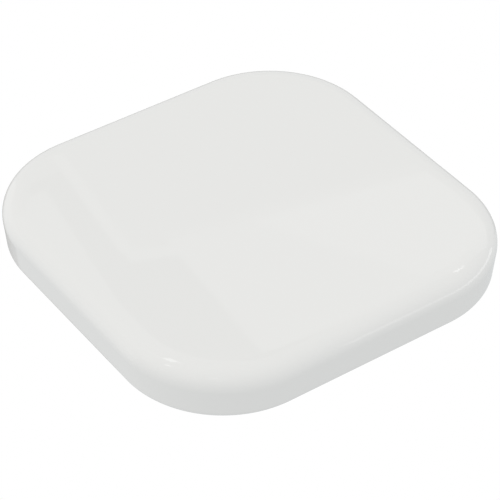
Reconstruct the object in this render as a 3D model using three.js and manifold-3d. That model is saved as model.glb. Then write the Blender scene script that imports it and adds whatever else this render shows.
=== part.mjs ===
// A square wireless charging pad for a phone, as an assembly of separate pieces.
// Millimetres, +Z up. The origin is on the table, under the middle of the pad.
// +Y is the rear, where the supply socket and the status light are; -Y is the front.

import * as THREE from "three";
import { mergeVertices } from "three/addons/utils/BufferGeometryUtils.js";
import Module from "manifold-3d";

const wasm = await Module();
wasm.setup();

// ---------------------------------------------------------------- Driving dimensions

// Body
const SIDE = 90; // across the body at its widest line
const HEIGHT = 12; // table to charging face
const CORNER_RADIUS = 24.5; // of the plan's corners
const EDGE_RUN = 5.4; // how far the top edge's rounding reaches in over the charging face
const EDGE_DROP = 4; // how far it reaches down the side
const EDGE_POWER = 2.2; // 2 is a plain ellipse, more is squarer
const SIDE_TAPER = 0.5; // how much the side draws in on its way down to the lip
const LIP_RADIUS = 1.7; // rounding between the side and the underside
const SIDE_WALL = 2.6;
const ROOF_WALL = 1.8;

// Bottom cover and foot ring
const FOOT_STANDOFF = 0.5; // how far the foot ring holds the cover off the table
const COVER_WALL = 1.6;
const COVER_GAP = 0.15; // reveal between the cover and the housing's lip
const RIM_WALL = 1.1; // upstanding rim round the cover's edge
const RIM_HEIGHT = 0.9;
const FOOT_INSET = 7; // body's side to the ring's outer edge
const FOOT_WIDTH = 5;
const FOOT_SEAT_DEPTH = 0.7; // depth of the groove that the ring is glued into
const FOOT_GAP = 0.12;
const FOOT_EDGE = 0.3; // rounding of the ring's lower edges

// Cover screws, their pillars and bosses
const SCREW_RADIUS = 1;
const SCREW_HEAD_RADIUS = 1.9;
const SCREW_HEAD_HEIGHT = 1;
const SCREW_HEAD_CROWN = 0.55; // the rounded part of that height
const SCREW_HEAD_LAND = 1.35; // radius of the head's flat end
const SCREW_TIP_RADIUS = 0.4;
const CROSS_REACH = 1.05; // the driver recess, from its middle to the end of an arm
const CROSS_WIDTH = 0.52;
const CROSS_DEPTH = 0.65;
const SCREW_GAP = 0.1; // round the thread, in the pillar, the board and the boss
const HEAD_GAP = 0.35; // round the head, in its counterbore
const HEAD_DEPTH = 1.3; // underside to the seat of the head
const HEAD_WEB = 1.5; // counterbore to foot groove
const BOSS_WALL = 2;
const BOSS_ROOF = 1.4; // left between the pilot hole's end and the roof
const PILOT_SPARE = 0.5; // pilot hole beyond the screw's tip
const GUSSET_WALL = 1.1;
const GUSSET_HEIGHT = 3.2;
const GUSSET_SHARE = 0.98; // of the way from the boss to the inside of the body's corner

// Main board
const BOARD_WALL = 1;
const BOARD_GAP = 0.8; // round the board, to the housing's wall
const BOARD_STANDOFF = 1.2; // cover's floor to the board
const PIN_RADIUS = 0.9; // the cover's two locating pins
const PIN_GAP = 0.1;
const PIN_INSET = 10.5; // body's side to the pin
const PIN_RISE = 0.5; // above the board
const REST_RADIUS = 12; // ring under the middle of the board
const REST_WALL = 1.2;

// Coil stack, glued up under the roof
const FERRITE_MARGIN = 3; // ferrite's edge beyond the winding
const FERRITE_THICKNESS = 1;
const COIL_RADIUS = 22; // over the outermost turn
const COIL_TURNS = 9;
const COIL_ENTRY = 145; // angle at which the outer end joins the winding, in degrees
const WIRE = 1.1; // over the served litz bundle
const TURN_GAP = 0.08;
const ROOF_TAPE = 0.2;
const FERRITE_TAPE = 0.15;
const TAPE_MARGIN = 0.4; // tape's edge to the winding's edge
const NEST_GAP = 0.3; // ferrite to the housing's locating ring
const NEST_WALL = 1;
const SLOT_GAP = 0.35; // each side of the wire in the ferrite's slot
const DIP_GAP = 0.09; // ferrite's upper face to the top of the wire in the slot
const PAD_GAP = 1.8; // the locating ring to the solder of the coil's pads, seen from above
const LEAD_BEND = 1.6; // how far before its pad each lead begins to turn down
const SLOT_DIP = 6.6; // how far along its slot the wire takes to drop into it
const SOLDER_RADIUS = 1.5;
const SOLDER_HEIGHT = 0.9;
const SOLDER_GAP = 0.1;
const SOLDER_LAND = 0.05; // width of the fillet's flat top
const THERMISTOR_RADIUS = 0.9;
const THERMISTOR_GAP = 0.1; // bead to roof
const THERMISTOR_X = 4.4;
const THERMISTOR_Y = 3;
const THERMISTOR_LEG = 0.2; // radius
const THERMISTOR_PITCH = 0.9; // between its legs
const THERMISTOR_HOLE = 1.2; // radius, in the ferrite

// Supply socket, type C
const SOCKET_WIDTH = 8.94;
const SOCKET_HEIGHT = 3.26;
const SOCKET_DEPTH = 7.35;
const SOCKET_SHEET = 0.3;
const SOCKET_RECESS = 0.9; // mouth below the body's widest line
const SOCKET_GAP = 0.25; // round the socket, in the housing's opening
const TONGUE_WIDTH = 6.69;
const TONGUE_THICKNESS = 0.7;
const TONGUE_RECESS = 0.8; // tongue's tip below the mouth
const PLUG_BLOCK = 1.5; // depth of the moulded block at the socket's back
const BLOCK_GAP = 0.05; // round the block, in the shell
const CONTACT_WIDTH = 0.3;
const CONTACT_SHEET = 0.1;
const CONTACT_GAP = 0.08;
const CONTACT_RECESS = 0.4; // contact's tip below the tongue's
const CONTACT_DROP = 0.35; // back of the block to the contact's way down to the board
const CONTACT_TAIL = 0.7; // on the board, from there
const STRAP_WIDTH = 1; // the shell's four board straps
const STRAP_FOOT = 0.8;
const STRAP_RISE = 0.2; // above the shell's middle
const STRAP_MARGIN = 0.3; // the rear pair to the shell's rear edge
const STRAP_ROOT = 0.27; // how deep a strap's sheet lies in the shell's

// Status light
const LED_X = 13;
const LED_HEIGHT = 1.1;
const LED_DEPTH = 1;
const LED_WIDTH = 1.6;
const LED_BASE = 0.65; // depth of its opaque base
const LENS_WIDTH = 1.15;
const LENS_INSET = 0.15; // lens below the base's top and above the board
const PIPE_RADIUS = 0.8;
const PIPE_GAP = 0.1;
const PIPE_FLANGE = 0.5; // wider than the pipe, and as thick
const PIPE_STUB = 0.5; // length of the thinner end by the light
const PIPE_STUB_RADIUS = 0.5;
const LIGHT_GAP = 0.1; // stub to light

// Chips: small-outline bodies on bent leads, and one leadless body
const CHIP_LIFT = 0.15; // board to a body on leads
const CHIP_MARK = 0.5; // the leadless body's cut corner
const LEAD_WIDTH = 0.4;
const LEAD_SHEET = 0.2;
const LEAD_KNEE = 0.4; // body to the lead's way down
const LEAD_REACH = 1; // body to the lead's toe
const LEAD_ROOT = 0.2; // how far the lead starts inside the body
const LEAD_RISE = 0.45; // share of the body's height at which it leaves
const CAP_GROWTH = 0.04; // how much fuller a passive's end caps are than its body

// Making
const OVER = 1; // how far a cutting tool runs past what it cuts
const SUNK = 0.1; // how far an added shape starts inside the one it joins
const MERGE = 1e-4; // points nearer than this are one point
const WHOLE = 0.01; // a turn step shorter than this is left out

// Facets
const CORNER_STEPS = 10; // per quarter of the plan
const EDGE_STEPS = 6;
const LIP_STEPS = 4;
const ROUND = 16; // sides of a small cylinder
const DISC = 44; // sides of a large one
const TURN_STEPS = 16; // per turn of the coil
const HOOK_STEPS = 7;
const DIP_STEPS = 5;
const WIRE_SIDES = 8;
const SLOT_END_STEPS = 5; // of a slot shape's round end
const BEAD_SIDES = 14;
const BEAD_RINGS = 10;
const LEG_SIDES = 8;

// ---------------------------------------------------------------- Derived places

const half = SIDE / 2;
const underside = FOOT_STANDOFF;
const floor = underside + COVER_WALL;
const boardUnderside = floor + BOARD_STANDOFF;
const boardTop = boardUnderside + BOARD_WALL;
const roof = HEIGHT - ROOF_WALL;
const widest = HEIGHT - EDGE_DROP;
const boardInset = SIDE_WALL + BOARD_GAP;
const footInnerInset = FOOT_INSET + FOOT_WIDTH;

const headSeat = underside + HEAD_DEPTH;
const headBore = SCREW_HEAD_RADIUS + HEAD_GAP;
const screwBore = SCREW_RADIUS + SCREW_GAP;
const bossRadius = screwBore + BOSS_WALL;
const screwTip = roof - BOSS_ROOF - PILOT_SPARE;
const cornerCentre = half - CORNER_RADIUS;
const screwReach = CORNER_RADIUS - footInnerInset - headBore - HEAD_WEB;
const screwPlace = cornerCentre + screwReach * Math.SQRT1_2;
const QUARTERS = [[1, 1], [-1, 1], [-1, -1], [1, -1]];

const ferriteRadius = COIL_RADIUS + FERRITE_MARGIN;
const nestRadius = ferriteRadius + NEST_GAP;
const padRow = nestRadius + NEST_WALL + PAD_GAP + SOLDER_RADIUS;
const coilTop = roof - ROOF_TAPE;
const coilLevel = coilTop - WIRE / 2;
const ferriteTop = coilTop - WIRE - FERRITE_TAPE;
const ferriteUnderside = ferriteTop - FERRITE_THICKNESS;
const slotLevel = ferriteTop - DIP_GAP - WIRE / 2;
const slotHalf = WIRE / 2 + SLOT_GAP;
const pitch = WIRE + TURN_GAP;
const entryAngle = THREE.MathUtils.degToRad(COIL_ENTRY);
const sweep = COIL_TURNS * 2 * Math.PI + (Math.PI - entryAngle);
const firstRadius = COIL_RADIUS - WIRE / 2;
const lastRadius = firstRadius - (pitch * sweep) / (2 * Math.PI);

// The outer lead runs straight on from the winding, to the row of the pads.
const entry = new THREE.Vector2(Math.cos(entryAngle), Math.sin(entryAngle)).multiplyScalar(firstRadius);
const entryWay = new THREE.Vector2(Math.sin(entryAngle), -Math.cos(entryAngle));
const leadLength = (padRow - entry.y) / entryWay.y;
const outerPadX = entry.x + entryWay.x * leadLength;

const boardRear = half - boardInset;
const mouth = half - SOCKET_RECESS;
const ledLevel = boardTop + LED_HEIGHT / 2;

// ---------------------------------------------------------------- Geometry helpers

// The body's plan, drawn in by an inset, with its corners on the same centres.
function outline(inset) {
  const radius = CORNER_RADIUS - inset;
  const points = [];
  for (let quarter = 0; quarter < 4; quarter++) {
    const [sx, sy] = QUARTERS[quarter];
    for (let step = 0; step <= CORNER_STEPS; step++) {
      const angle = ((quarter + step / CORNER_STEPS) * Math.PI) / 2;
      const x = sx * cornerCentre + radius * Math.cos(angle);
      const y = sy * cornerCentre + radius * Math.sin(angle);
      points.push(new THREE.Vector2(x, y));
    }
  }
  return points;
}

// A closed body through a stack of the plan's outlines, each { inset, z }, from the bottom up.
function loft(levels) {
  const rings = levels.map(({ inset }) => outline(inset));
  const count = rings[0].length;
  const positions = [];
  const faces = [];
  rings.forEach((ring, level) => ring.forEach((p) => positions.push(p.x, p.y, levels[level].z)));
  positions.push(0, 0, levels[0].z, 0, 0, levels.at(-1).z);
  const bottom = rings.length * count;
  const last = (rings.length - 1) * count;
  for (let i = 0; i < count; i++) {
    const next = (i + 1) % count;
    faces.push(bottom, next, i, bottom + 1, last + i, last + next);
    for (let base = 0; base < last; base += count) {
      faces.push(base + i, base + next, base + count + i);
      faces.push(base + next, base + count + next, base + count + i);
    }
  }
  const made = new THREE.BufferGeometry();
  made.setAttribute("position", new THREE.Float32BufferAttribute(positions, 3));
  made.setIndex(faces);
  return made;
}

// A flat plate between two heights.
function plate(shape, low, high, curveSegments = ROUND / 2) {
  const settings = { depth: high - low, bevelEnabled: false, curveSegments };
  return new THREE.ExtrudeGeometry(shape, settings).translate(0, 0, low);
}

function planPlate(inset, low, high) {
  return plate(new THREE.Shape(outline(inset)), low, high);
}

function cylinder(radius, low, high, x = 0, y = 0, sides = ROUND) {
  const made = new THREE.CylinderGeometry(radius, radius, high - low, sides);
  return made.rotateX(Math.PI / 2).translate(x, y, (low + high) / 2);
}

// A cylinder along Y.
function crossCylinder(radius, near, far, x, z, sides = ROUND) {
  return new THREE.CylinderGeometry(radius, radius, far - near, sides).translate(x, (near + far) / 2, z);
}

function box(x0, x1, y0, y1, z0, z1) {
  const made = new THREE.BoxGeometry(x1 - x0, y1 - y0, z1 - z0);
  return made.translate((x0 + x1) / 2, (y0 + y1) / 2, (z0 + z1) / 2);
}

// A slot shape with round ends, wider than high, centred on x 0 and a height.
function stadium(width, height, level) {
  const radius = height / 2;
  const reach = width / 2 - radius;
  const shape = new THREE.Shape();
  shape.absarc(reach, level, radius, -Math.PI / 2, Math.PI / 2);
  shape.absarc(-reach, level, radius, Math.PI / 2, (3 * Math.PI) / 2);
  return shape;
}

// A shape drawn in X and Z, run along Y from near to far.
function crossPlate(shape, near, far, curveSegments = SLOT_END_STEPS) {
  const settings = { depth: far - near, bevelEnabled: false, curveSegments };
  return new THREE.ExtrudeGeometry(shape, settings).rotateX(Math.PI / 2).translate(0, far, 0);
}

function solid(geometry) {
  const bare = new THREE.BufferGeometry();
  const source = geometry.index ? geometry.toNonIndexed() : geometry;
  bare.setAttribute("position", source.getAttribute("position"));
  const merged = mergeVertices(bare, MERGE);
  const mesh = {
    numProp: 3,
    vertProperties: merged.attributes.position.array,
    triVerts: new Uint32Array(merged.index.array),
  };
  return new wasm.Manifold(new wasm.Mesh(mesh));
}

function join(first, ...others) {
  return others.reduce((body, other) => body.add(solid(other)), solid(first));
}

function cut(body, ...tools) {
  return tools.reduce((left, tool) => left.subtract(solid(tool)), body);
}

function geometryOf(body) {
  const { vertProperties, triVerts } = body.getMesh();
  const made = new THREE.BufferGeometry();
  made.setAttribute("position", new THREE.Float32BufferAttribute(vertProperties, 3));
  made.setIndex(new THREE.BufferAttribute(new Uint32Array(triVerts), 1));
  made.computeVertexNormals();
  return made;
}

// ---------------------------------------------------------------- Materials

const material = (color, roughness, metalness = 0) =>
  new THREE.MeshStandardMaterial({ color, roughness, metalness });

const glossWhite = material(0xe9e9e7, 0.12);
const mattWhite = material(0xe4e4e1, 0.5);
const silicone = material(0xc9cbca, 0.75);
const zincScrew = material(0xb9bbbd, 0.3, 1);
const clearPipe = material(0xeef3f5, 0.1);
const steelSheet = material(0xc4c6c8, 0.28, 1);
const blackMoulding = material(0x1b1c1e, 0.5);
const goldPlate = material(0xe2b45a, 0.25, 1);
const boardGreen = material(0x1d5a3a, 0.4);
const chipBlack = material(0x202124, 0.55);
const ceramicTan = material(0xb08d63, 0.4);
const resistorBlack = material(0x17181a, 0.35);
const ledWhite = material(0xf2efe2, 0.35);
const beadBlack = material(0x141517, 0.3);
const ferriteGrey = material(0x3a3b3e, 0.7);
const tapeWhite = material(0xdfdcd0, 0.8);
const litzCopper = material(0xb5683a, 0.45, 0.6);
const solderTin = material(0xcfd1d2, 0.3, 1);

// ---------------------------------------------------------------- Body pieces

// The rounding from a wall's inset at a lower height to a roof's edge at an upper height.
function rounding(wallInset, roofInset, low, high) {
  const levels = [];
  for (let step = 0; step <= EDGE_STEPS; step++) {
    const angle = ((step / EDGE_STEPS) * Math.PI) / 2;
    const across = 1 - Math.cos(angle) ** (2 / EDGE_POWER);
    const up = Math.sin(angle) ** (2 / EDGE_POWER);
    levels.push({ inset: wallInset + (roofInset - wallInset) * across, z: low + (high - low) * up });
  }
  levels.at(-1).inset = roofInset;
  return levels;
}

function lip() {
  const levels = [];
  for (let step = 0; step <= LIP_STEPS; step++) {
    const angle = ((step / LIP_STEPS) * Math.PI) / 2;
    const inset = SIDE_TAPER + LIP_RADIUS * (1 - Math.sin(angle));
    levels.push({ inset, z: underside + LIP_RADIUS * (1 - Math.cos(angle)) });
  }
  return levels;
}

function screwPlaces() {
  return QUARTERS.map(([sx, sy]) => [sx * screwPlace, sy * screwPlace]);
}

// A boss hung from the roof, with one gusset out towards the body's corner.
function boss([x, y]) {
  const reach = (CORNER_RADIUS - SIDE_WALL - screwReach) * GUSSET_SHARE;
  const gusset = box(0, reach, -GUSSET_WALL / 2, GUSSET_WALL / 2, roof - GUSSET_HEIGHT, roof + ROOF_WALL / 2);
  gusset.rotateZ(Math.atan2(y, x)).translate(x, y, 0);
  return join(cylinder(bossRadius, boardTop, roof + ROOF_WALL / 2, x, y), gusset);
}

// The ring that the ferrite nests in, open at the rear where the coil's two ends leave.
function nest() {
  const outer = nestRadius + NEST_WALL;
  const ring = solid(cylinder(outer, ferriteUnderside, roof + ROOF_WALL / 2, 0, 0, DISC));
  const along = Math.sqrt(outer ** 2 - firstRadius ** 2);
  const leadX = entry.x + entryWay.x * along;
  const opening = box(leadX - 2 * WIRE, 2 * WIRE, 0, outer + OVER, ferriteUnderside - OVER, roof);
  return cut(ring, cylinder(nestRadius, ferriteUnderside - OVER, HEIGHT, 0, 0, DISC), opening);
}

function socketOpening() {
  const level = boardTop + SOCKET_HEIGHT / 2;
  const shape = stadium(SOCKET_WIDTH + 2 * SOCKET_GAP, SOCKET_HEIGHT + 2 * SOCKET_GAP, level);
  return crossPlate(shape, half - SIDE_WALL - OVER, half + OVER);
}

function topHousing() {
  const outer = solid(loft([...lip(), ...rounding(0, EDGE_RUN, widest, HEIGHT)]));
  const inner = loft([
    { inset: SIDE_WALL, z: underside - OVER },
    ...rounding(SIDE_WALL, EDGE_RUN, widest, roof),
  ]);
  let body = cut(outer, inner).add(nest());
  for (const place of screwPlaces()) {
    body = body.add(boss(place));
    body = cut(body, cylinder(screwBore, boardTop - OVER, screwTip + PILOT_SPARE, ...place));
  }
  const pipeBore = PIPE_RADIUS + PIPE_GAP;
  const pipeHole = crossCylinder(pipeBore, half - SIDE_WALL - OVER, half + OVER, LED_X, ledLevel);
  return geometryOf(cut(body, socketOpening(), pipeHole));
}

function bottomCover() {
  const edge = SIDE_WALL + COVER_GAP;
  const groove = [FOOT_INSET - FOOT_GAP, footInnerInset + FOOT_GAP];
  const grooveTop = underside + FOOT_SEAT_DEPTH;
  let body = join(planPlate(edge, underside, floor), planPlate(edge, floor - SUNK, floor + RIM_HEIGHT));
  body = cut(body, planPlate(edge + RIM_WALL, floor, floor + RIM_HEIGHT + OVER));
  const ring = cut(
    solid(planPlate(groove[0], underside - OVER, grooveTop)),
    planPlate(groove[1], underside - 2 * OVER, grooveTop + OVER),
  );
  body = body.subtract(ring);
  const rest = solid(cylinder(REST_RADIUS, floor - SUNK, boardUnderside, 0, 0, DISC));
  const restBore = cylinder(REST_RADIUS - REST_WALL, floor, boardUnderside + OVER, 0, 0, DISC);
  body = body.add(cut(rest, restBore));
  for (const place of screwPlaces()) {
    body = body.add(solid(cylinder(bossRadius, floor - SUNK, boardUnderside, ...place)));
    body = cut(
      body,
      cylinder(headBore, underside - OVER, headSeat, ...place),
      cylinder(screwBore, headSeat - OVER, boardUnderside + OVER, ...place),
    );
  }
  for (const sx of [-1, 1]) {
    const pin = cylinder(PIN_RADIUS, floor - SUNK, boardTop + PIN_RISE, sx * (half - PIN_INSET), 0);
    body = body.add(solid(pin));
  }
  return geometryOf(body);
}

// A glued-in ring with its two lower edges rounded off.
function footRing() {
  const top = underside + FOOT_SEAT_DEPTH;
  const middle = FOOT_EDGE * (1 - Math.SQRT1_2);
  const outer = solid(
    loft([
      { inset: FOOT_INSET + FOOT_EDGE, z: 0 },
      { inset: FOOT_INSET + middle, z: middle },
      { inset: FOOT_INSET, z: FOOT_EDGE },
      { inset: FOOT_INSET, z: top },
    ]),
  );
  const inner = loft([
    { inset: footInnerInset - FOOT_EDGE, z: -OVER },
    { inset: footInnerInset - FOOT_EDGE, z: 0 },
    { inset: footInnerInset - middle, z: middle },
    { inset: footInnerInset, z: FOOT_EDGE },
    { inset: footInnerInset, z: top + OVER },
  ]);
  return geometryOf(cut(outer, inner));
}

// A pan-head screw with its head down, its origin on the seat of the head.
function coverScrew() {
  const length = screwTip - headSeat;
  const profile = [
    [0, -SCREW_HEAD_HEIGHT],
    [SCREW_HEAD_LAND, -SCREW_HEAD_HEIGHT],
    [SCREW_HEAD_RADIUS, SCREW_HEAD_CROWN - SCREW_HEAD_HEIGHT],
    [SCREW_HEAD_RADIUS, 0],
    [SCREW_RADIUS, 0],
    [SCREW_RADIUS, length - SCREW_RADIUS],
    [SCREW_TIP_RADIUS, length],
    [0, length],
  ].map(([x, y]) => new THREE.Vector2(x, y));
  const turned = new THREE.LatheGeometry(profile, ROUND).rotateX(Math.PI / 2);
  const web = CROSS_WIDTH / 2;
  const low = -SCREW_HEAD_HEIGHT - OVER;
  const high = CROSS_DEPTH - SCREW_HEAD_HEIGHT;
  const across = box(-CROSS_REACH, CROSS_REACH, -web, web, low, high);
  const along = box(-web, web, -CROSS_REACH, CROSS_REACH, low, high);
  return geometryOf(cut(solid(turned), across, along));
}

// ---------------------------------------------------------------- Socket pieces
// Their origin is at the middle of the mouth, on the board's top face, and they run back along -Y.

const socketMiddle = SOCKET_HEIGHT / 2;
const blockFront = -SOCKET_DEPTH + PLUG_BLOCK;

function socketShell() {
  const tube = stadium(SOCKET_WIDTH, SOCKET_HEIGHT, socketMiddle);
  tube.holes.push(stadium(SOCKET_WIDTH - 2 * SOCKET_SHEET, SOCKET_HEIGHT - 2 * SOCKET_SHEET, socketMiddle));
  let body = solid(crossPlate(tube, -SOCKET_DEPTH, 0));
  const side = SOCKET_WIDTH / 2;
  const inner = side - STRAP_ROOT;
  for (const y of [blockFront + STRAP_WIDTH, -SOCKET_DEPTH + STRAP_MARGIN]) {
    const far = y + STRAP_WIDTH;
    const strap = box(inner, inner + SOCKET_SHEET, y, far, 0, socketMiddle + STRAP_RISE);
    const foot = box(inner, side + STRAP_FOOT, y, far, 0, SOCKET_SHEET);
    const leg = join(strap, foot);
    body = body.add(leg).add(leg.rotate([0, 0, 180]).translate([0, y + far, 0]));
  }
  return geometryOf(body);
}

// x of each contact, and +1 on the tongue's upper face or -1 on its lower one.
const CONTACTS = [[-2.75, -1], [-1.25, -1], [-0.75, 1], [0.75, -1], [1.25, 1], [2.75, 1]];

// A contact's side view: along the tongue, through the block, and down to the board.
function contactShape(face) {
  const level = socketMiddle + (face * TONGUE_THICKNESS) / 2 + (face < 0 ? -CONTACT_SHEET : 0);
  const front = -TONGUE_RECESS - CONTACT_RECESS;
  const back = -SOCKET_DEPTH - CONTACT_DROP;
  const shape = new THREE.Shape();
  shape.moveTo(front, level);
  shape.lineTo(front, level + CONTACT_SHEET);
  shape.lineTo(back - CONTACT_SHEET, level + CONTACT_SHEET);
  shape.lineTo(back - CONTACT_SHEET, CONTACT_SHEET);
  shape.lineTo(back - CONTACT_TAIL, CONTACT_SHEET);
  shape.lineTo(back - CONTACT_TAIL, 0);
  shape.lineTo(back, 0);
  shape.lineTo(back, level);
  return shape;
}

// The side view is drawn in Y and Z and run across X.
function socketContact(face, x) {
  const made = new THREE.ExtrudeGeometry(contactShape(face), { depth: CONTACT_WIDTH, bevelEnabled: false });
  return made.rotateX(Math.PI / 2).rotateZ(Math.PI / 2).translate(x - CONTACT_WIDTH / 2, 0, 0);
}

function socketInsulator() {
  const width = SOCKET_WIDTH - 2 * (SOCKET_SHEET + BLOCK_GAP);
  const height = SOCKET_HEIGHT - 2 * (SOCKET_SHEET + BLOCK_GAP);
  const block = crossPlate(stadium(width, height, socketMiddle), -SOCKET_DEPTH, blockFront);
  const side = TONGUE_WIDTH / 2;
  const low = socketMiddle - TONGUE_THICKNESS / 2;
  const tongue = box(-side, side, blockFront - SUNK, -TONGUE_RECESS, low, low + TONGUE_THICKNESS);
  let body = join(block, tongue);
  for (const [x, face] of CONTACTS) {
    const level = socketMiddle + (face * TONGUE_THICKNESS) / 2;
    const reach = face * (CONTACT_SHEET + CONTACT_GAP);
    const wide = CONTACT_WIDTH / 2 + CONTACT_GAP;
    const z0 = Math.min(level, level + reach);
    const z1 = Math.max(level, level + reach);
    body = cut(body, box(x - wide, x + wide, -SOCKET_DEPTH - OVER, blockFront + OVER, z0, z1));
  }
  return geometryOf(body);
}

// ---------------------------------------------------------------- Status light

// Runs along Y from the body's side, with a flange inside the wall and a stub up to the light.
function lightPipe() {
  const inside = half - SIDE_WALL;
  const rise = (ledLevel - underside - LIP_RADIUS) / (widest - underside - LIP_RADIUS);
  const face = half - SIDE_TAPER * (1 - rise);
  return geometryOf(
    join(
      crossCylinder(PIPE_RADIUS, inside - PIPE_FLANGE, face, 0, 0),
      crossCylinder(PIPE_RADIUS + PIPE_FLANGE, inside - PIPE_FLANGE, inside, 0, 0),
      crossCylinder(PIPE_STUB_RADIUS, inside - PIPE_FLANGE - PIPE_STUB, inside, 0, 0),
    ),
  );
}

// ---------------------------------------------------------------- Board and its components

function mainBoard() {
  let body = solid(planPlate(boardInset, 0, BOARD_WALL));
  for (const place of screwPlaces()) {
    body = cut(body, cylinder(screwBore, -OVER, BOARD_WALL + OVER, ...place));
  }
  for (const sx of [-1, 1]) {
    const x = sx * (half - PIN_INSET);
    body = cut(body, cylinder(PIN_RADIUS + PIN_GAP, -OVER, BOARD_WALL + OVER, x, 0));
  }
  return geometryOf(body);
}

// A leadless or moulded chip: a body with its marked corner cut off.
function plainChip(width, depth, height) {
  const x = width / 2;
  const y = depth / 2;
  const shape = new THREE.Shape();
  shape.moveTo(-x, -y);
  shape.lineTo(x, -y);
  shape.lineTo(x, y);
  shape.lineTo(-x + CHIP_MARK, y);
  shape.lineTo(-x, y - CHIP_MARK);
  return plate(shape, 0, height);
}

// A small-outline chip: a body that stands on rows of bent leads on its two long sides.
function leadedChip(width, depth, height, leadsPerSide) {
  const level = height * LEAD_RISE;
  const parts = [];
  const spacing = width / leadsPerSide;
  for (let i = 0; i < leadsPerSide; i++) {
    const x = (i - (leadsPerSide - 1) / 2) * spacing;
    for (const side of [-1, 1]) {
      const inner = (depth / 2 - LEAD_ROOT) * side;
      const knee = (depth / 2 + LEAD_KNEE) * side;
      const bend = knee - LEAD_SHEET * side;
      const toe = (depth / 2 + LEAD_REACH) * side;
      const [x0, x1] = [x - LEAD_WIDTH / 2, x + LEAD_WIDTH / 2];
      const span = (a, b) => [Math.min(a, b), Math.max(a, b)];
      parts.push(box(x0, x1, ...span(inner, knee), level, level + LEAD_SHEET));
      parts.push(box(x0, x1, ...span(bend, knee), 0, level + LEAD_SHEET));
      parts.push(box(x0, x1, ...span(bend, toe), 0, LEAD_SHEET));
    }
  }
  const body = box(-width / 2, width / 2, -depth / 2, depth / 2, CHIP_LIFT, height);
  return geometryOf(join(body, ...parts));
}

// A chip capacitor or resistor: a body with a slightly fuller cap on each end.
function passive(length, width, height, capLength) {
  const x = length / 2;
  const y = width / 2;
  const bodyX = x - capLength / 2;
  const bodyY = y - CAP_GROWTH;
  return geometryOf(
    join(
      box(-bodyX, bodyX, -bodyY, bodyY, CAP_GROWTH, height - CAP_GROWTH),
      box(-x, -x + capLength, -y, y, 0, height),
      box(x - capLength, x, -y, y, 0, height),
    ),
  );
}

function statusLed() {
  const baseFront = LED_BASE - LED_DEPTH;
  const lensRear = baseFront - SUNK;
  const base = box(-LED_WIDTH / 2, LED_WIDTH / 2, -LED_DEPTH, baseFront, 0, LED_HEIGHT);
  const lens = box(-LENS_WIDTH / 2, LENS_WIDTH / 2, lensRear, 0, LENS_INSET, LED_HEIGHT - LENS_INSET);
  return geometryOf(join(base, lens));
}

// ---------------------------------------------------------------- Coil stack

function ferriteDisc() {
  const top = FERRITE_THICKNESS + OVER;
  const slot = box(-slotHalf, slotHalf, -WIRE, ferriteRadius + OVER, -OVER, top);
  const hole = cylinder(THERMISTOR_HOLE, -OVER, top, THERMISTOR_X, THERMISTOR_Y);
  return geometryOf(cut(solid(cylinder(ferriteRadius, 0, FERRITE_THICKNESS, 0, 0, DISC)), slot, hole));
}

function tapeRing(thickness) {
  const outer = cylinder(COIL_RADIUS - TAPE_MARGIN, 0, thickness, 0, 0, DISC);
  const inner = cylinder(lastRadius, -OVER, thickness + OVER, 0, 0, DISC);
  return geometryOf(cut(solid(outer), inner));
}

// The wire's centre line: up from the outer pad, in to the winding, round it inwards, over in a half
// circle to the middle, down into the ferrite's slot, out under the turns and down to the inner pad.
function windingPoints() {
  const points = [];
  const add = (x, y, z) => points.push(new THREE.Vector3(x, y, z));
  const padTop = boardTop + SOLDER_HEIGHT;
  const corner = LEAD_BEND * (1 - Math.SQRT1_2);
  for (const z of [boardTop, padTop, coilLevel - 2 * LEAD_BEND, coilLevel - LEAD_BEND]) {
    add(outerPadX, padRow, z);
  }
  const lead = (distance, z) => add(entry.x + entryWay.x * distance, entry.y + entryWay.y * distance, z);
  lead(leadLength - corner, coilLevel - corner);
  for (const distance of [leadLength - LEAD_BEND, (leadLength * 2) / 3, leadLength / 3]) {
    lead(distance, coilLevel);
  }
  // The steps are counted back from the inner end, so each turn's facets lie beside the next turn's.
  const turnStep = (2 * Math.PI) / TURN_STEPS;
  const whole = Math.ceil(sweep / turnStep - WHOLE) - 1;
  const turned = [0];
  for (let left = whole; left >= 0; left--) turned.push(sweep - left * turnStep);
  for (const angle of turned) {
    const radius = firstRadius - (pitch * angle) / (2 * Math.PI);
    add(radius * Math.cos(entryAngle + angle), radius * Math.sin(entryAngle + angle), coilLevel);
  }
  const hook = lastRadius / 2;
  for (let step = 1; step <= HOOK_STEPS; step++) {
    const angle = Math.PI * (1 + step / HOOK_STEPS);
    add(-hook + hook * Math.cos(angle), hook * Math.sin(angle), coilLevel);
  }
  for (let step = 1; step <= DIP_STEPS; step++) {
    const share = step / DIP_STEPS;
    const dropped = THREE.MathUtils.smoothstep(share, 0, 1);
    add(0, SLOT_DIP * share, THREE.MathUtils.lerp(coilLevel, slotLevel, dropped));
  }
  const straight = nestRadius - SLOT_DIP;
  for (const y of [SLOT_DIP + straight / 3, SLOT_DIP + (straight * 2) / 3, nestRadius, padRow - LEAD_BEND]) {
    add(0, y, slotLevel);
  }
  add(0, padRow - corner, slotLevel - corner);
  for (const z of [slotLevel - LEAD_BEND, padTop, boardTop]) {
    add(0, padRow, z);
  }
  return points;
}

// A curve whose steps fall on its points.
class SteppedCurve extends THREE.CatmullRomCurve3 {
  getUtoTmapping(share) {
    return share;
  }
}

function transmitterCoil() {
  const points = windingPoints();
  const section = new THREE.Shape();
  for (let side = 0; side < WIRE_SIDES; side++) {
    const angle = (side / WIRE_SIDES) * 2 * Math.PI;
    const corner = [(WIRE / 2) * Math.cos(angle), (WIRE / 2) * Math.sin(angle)];
    if (side === 0) section.moveTo(...corner);
    else section.lineTo(...corner);
  }
  const settings = { steps: points.length - 1, extrudePath: new SteppedCurve(points) };
  return new THREE.ExtrudeGeometry(section, settings);
}

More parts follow.
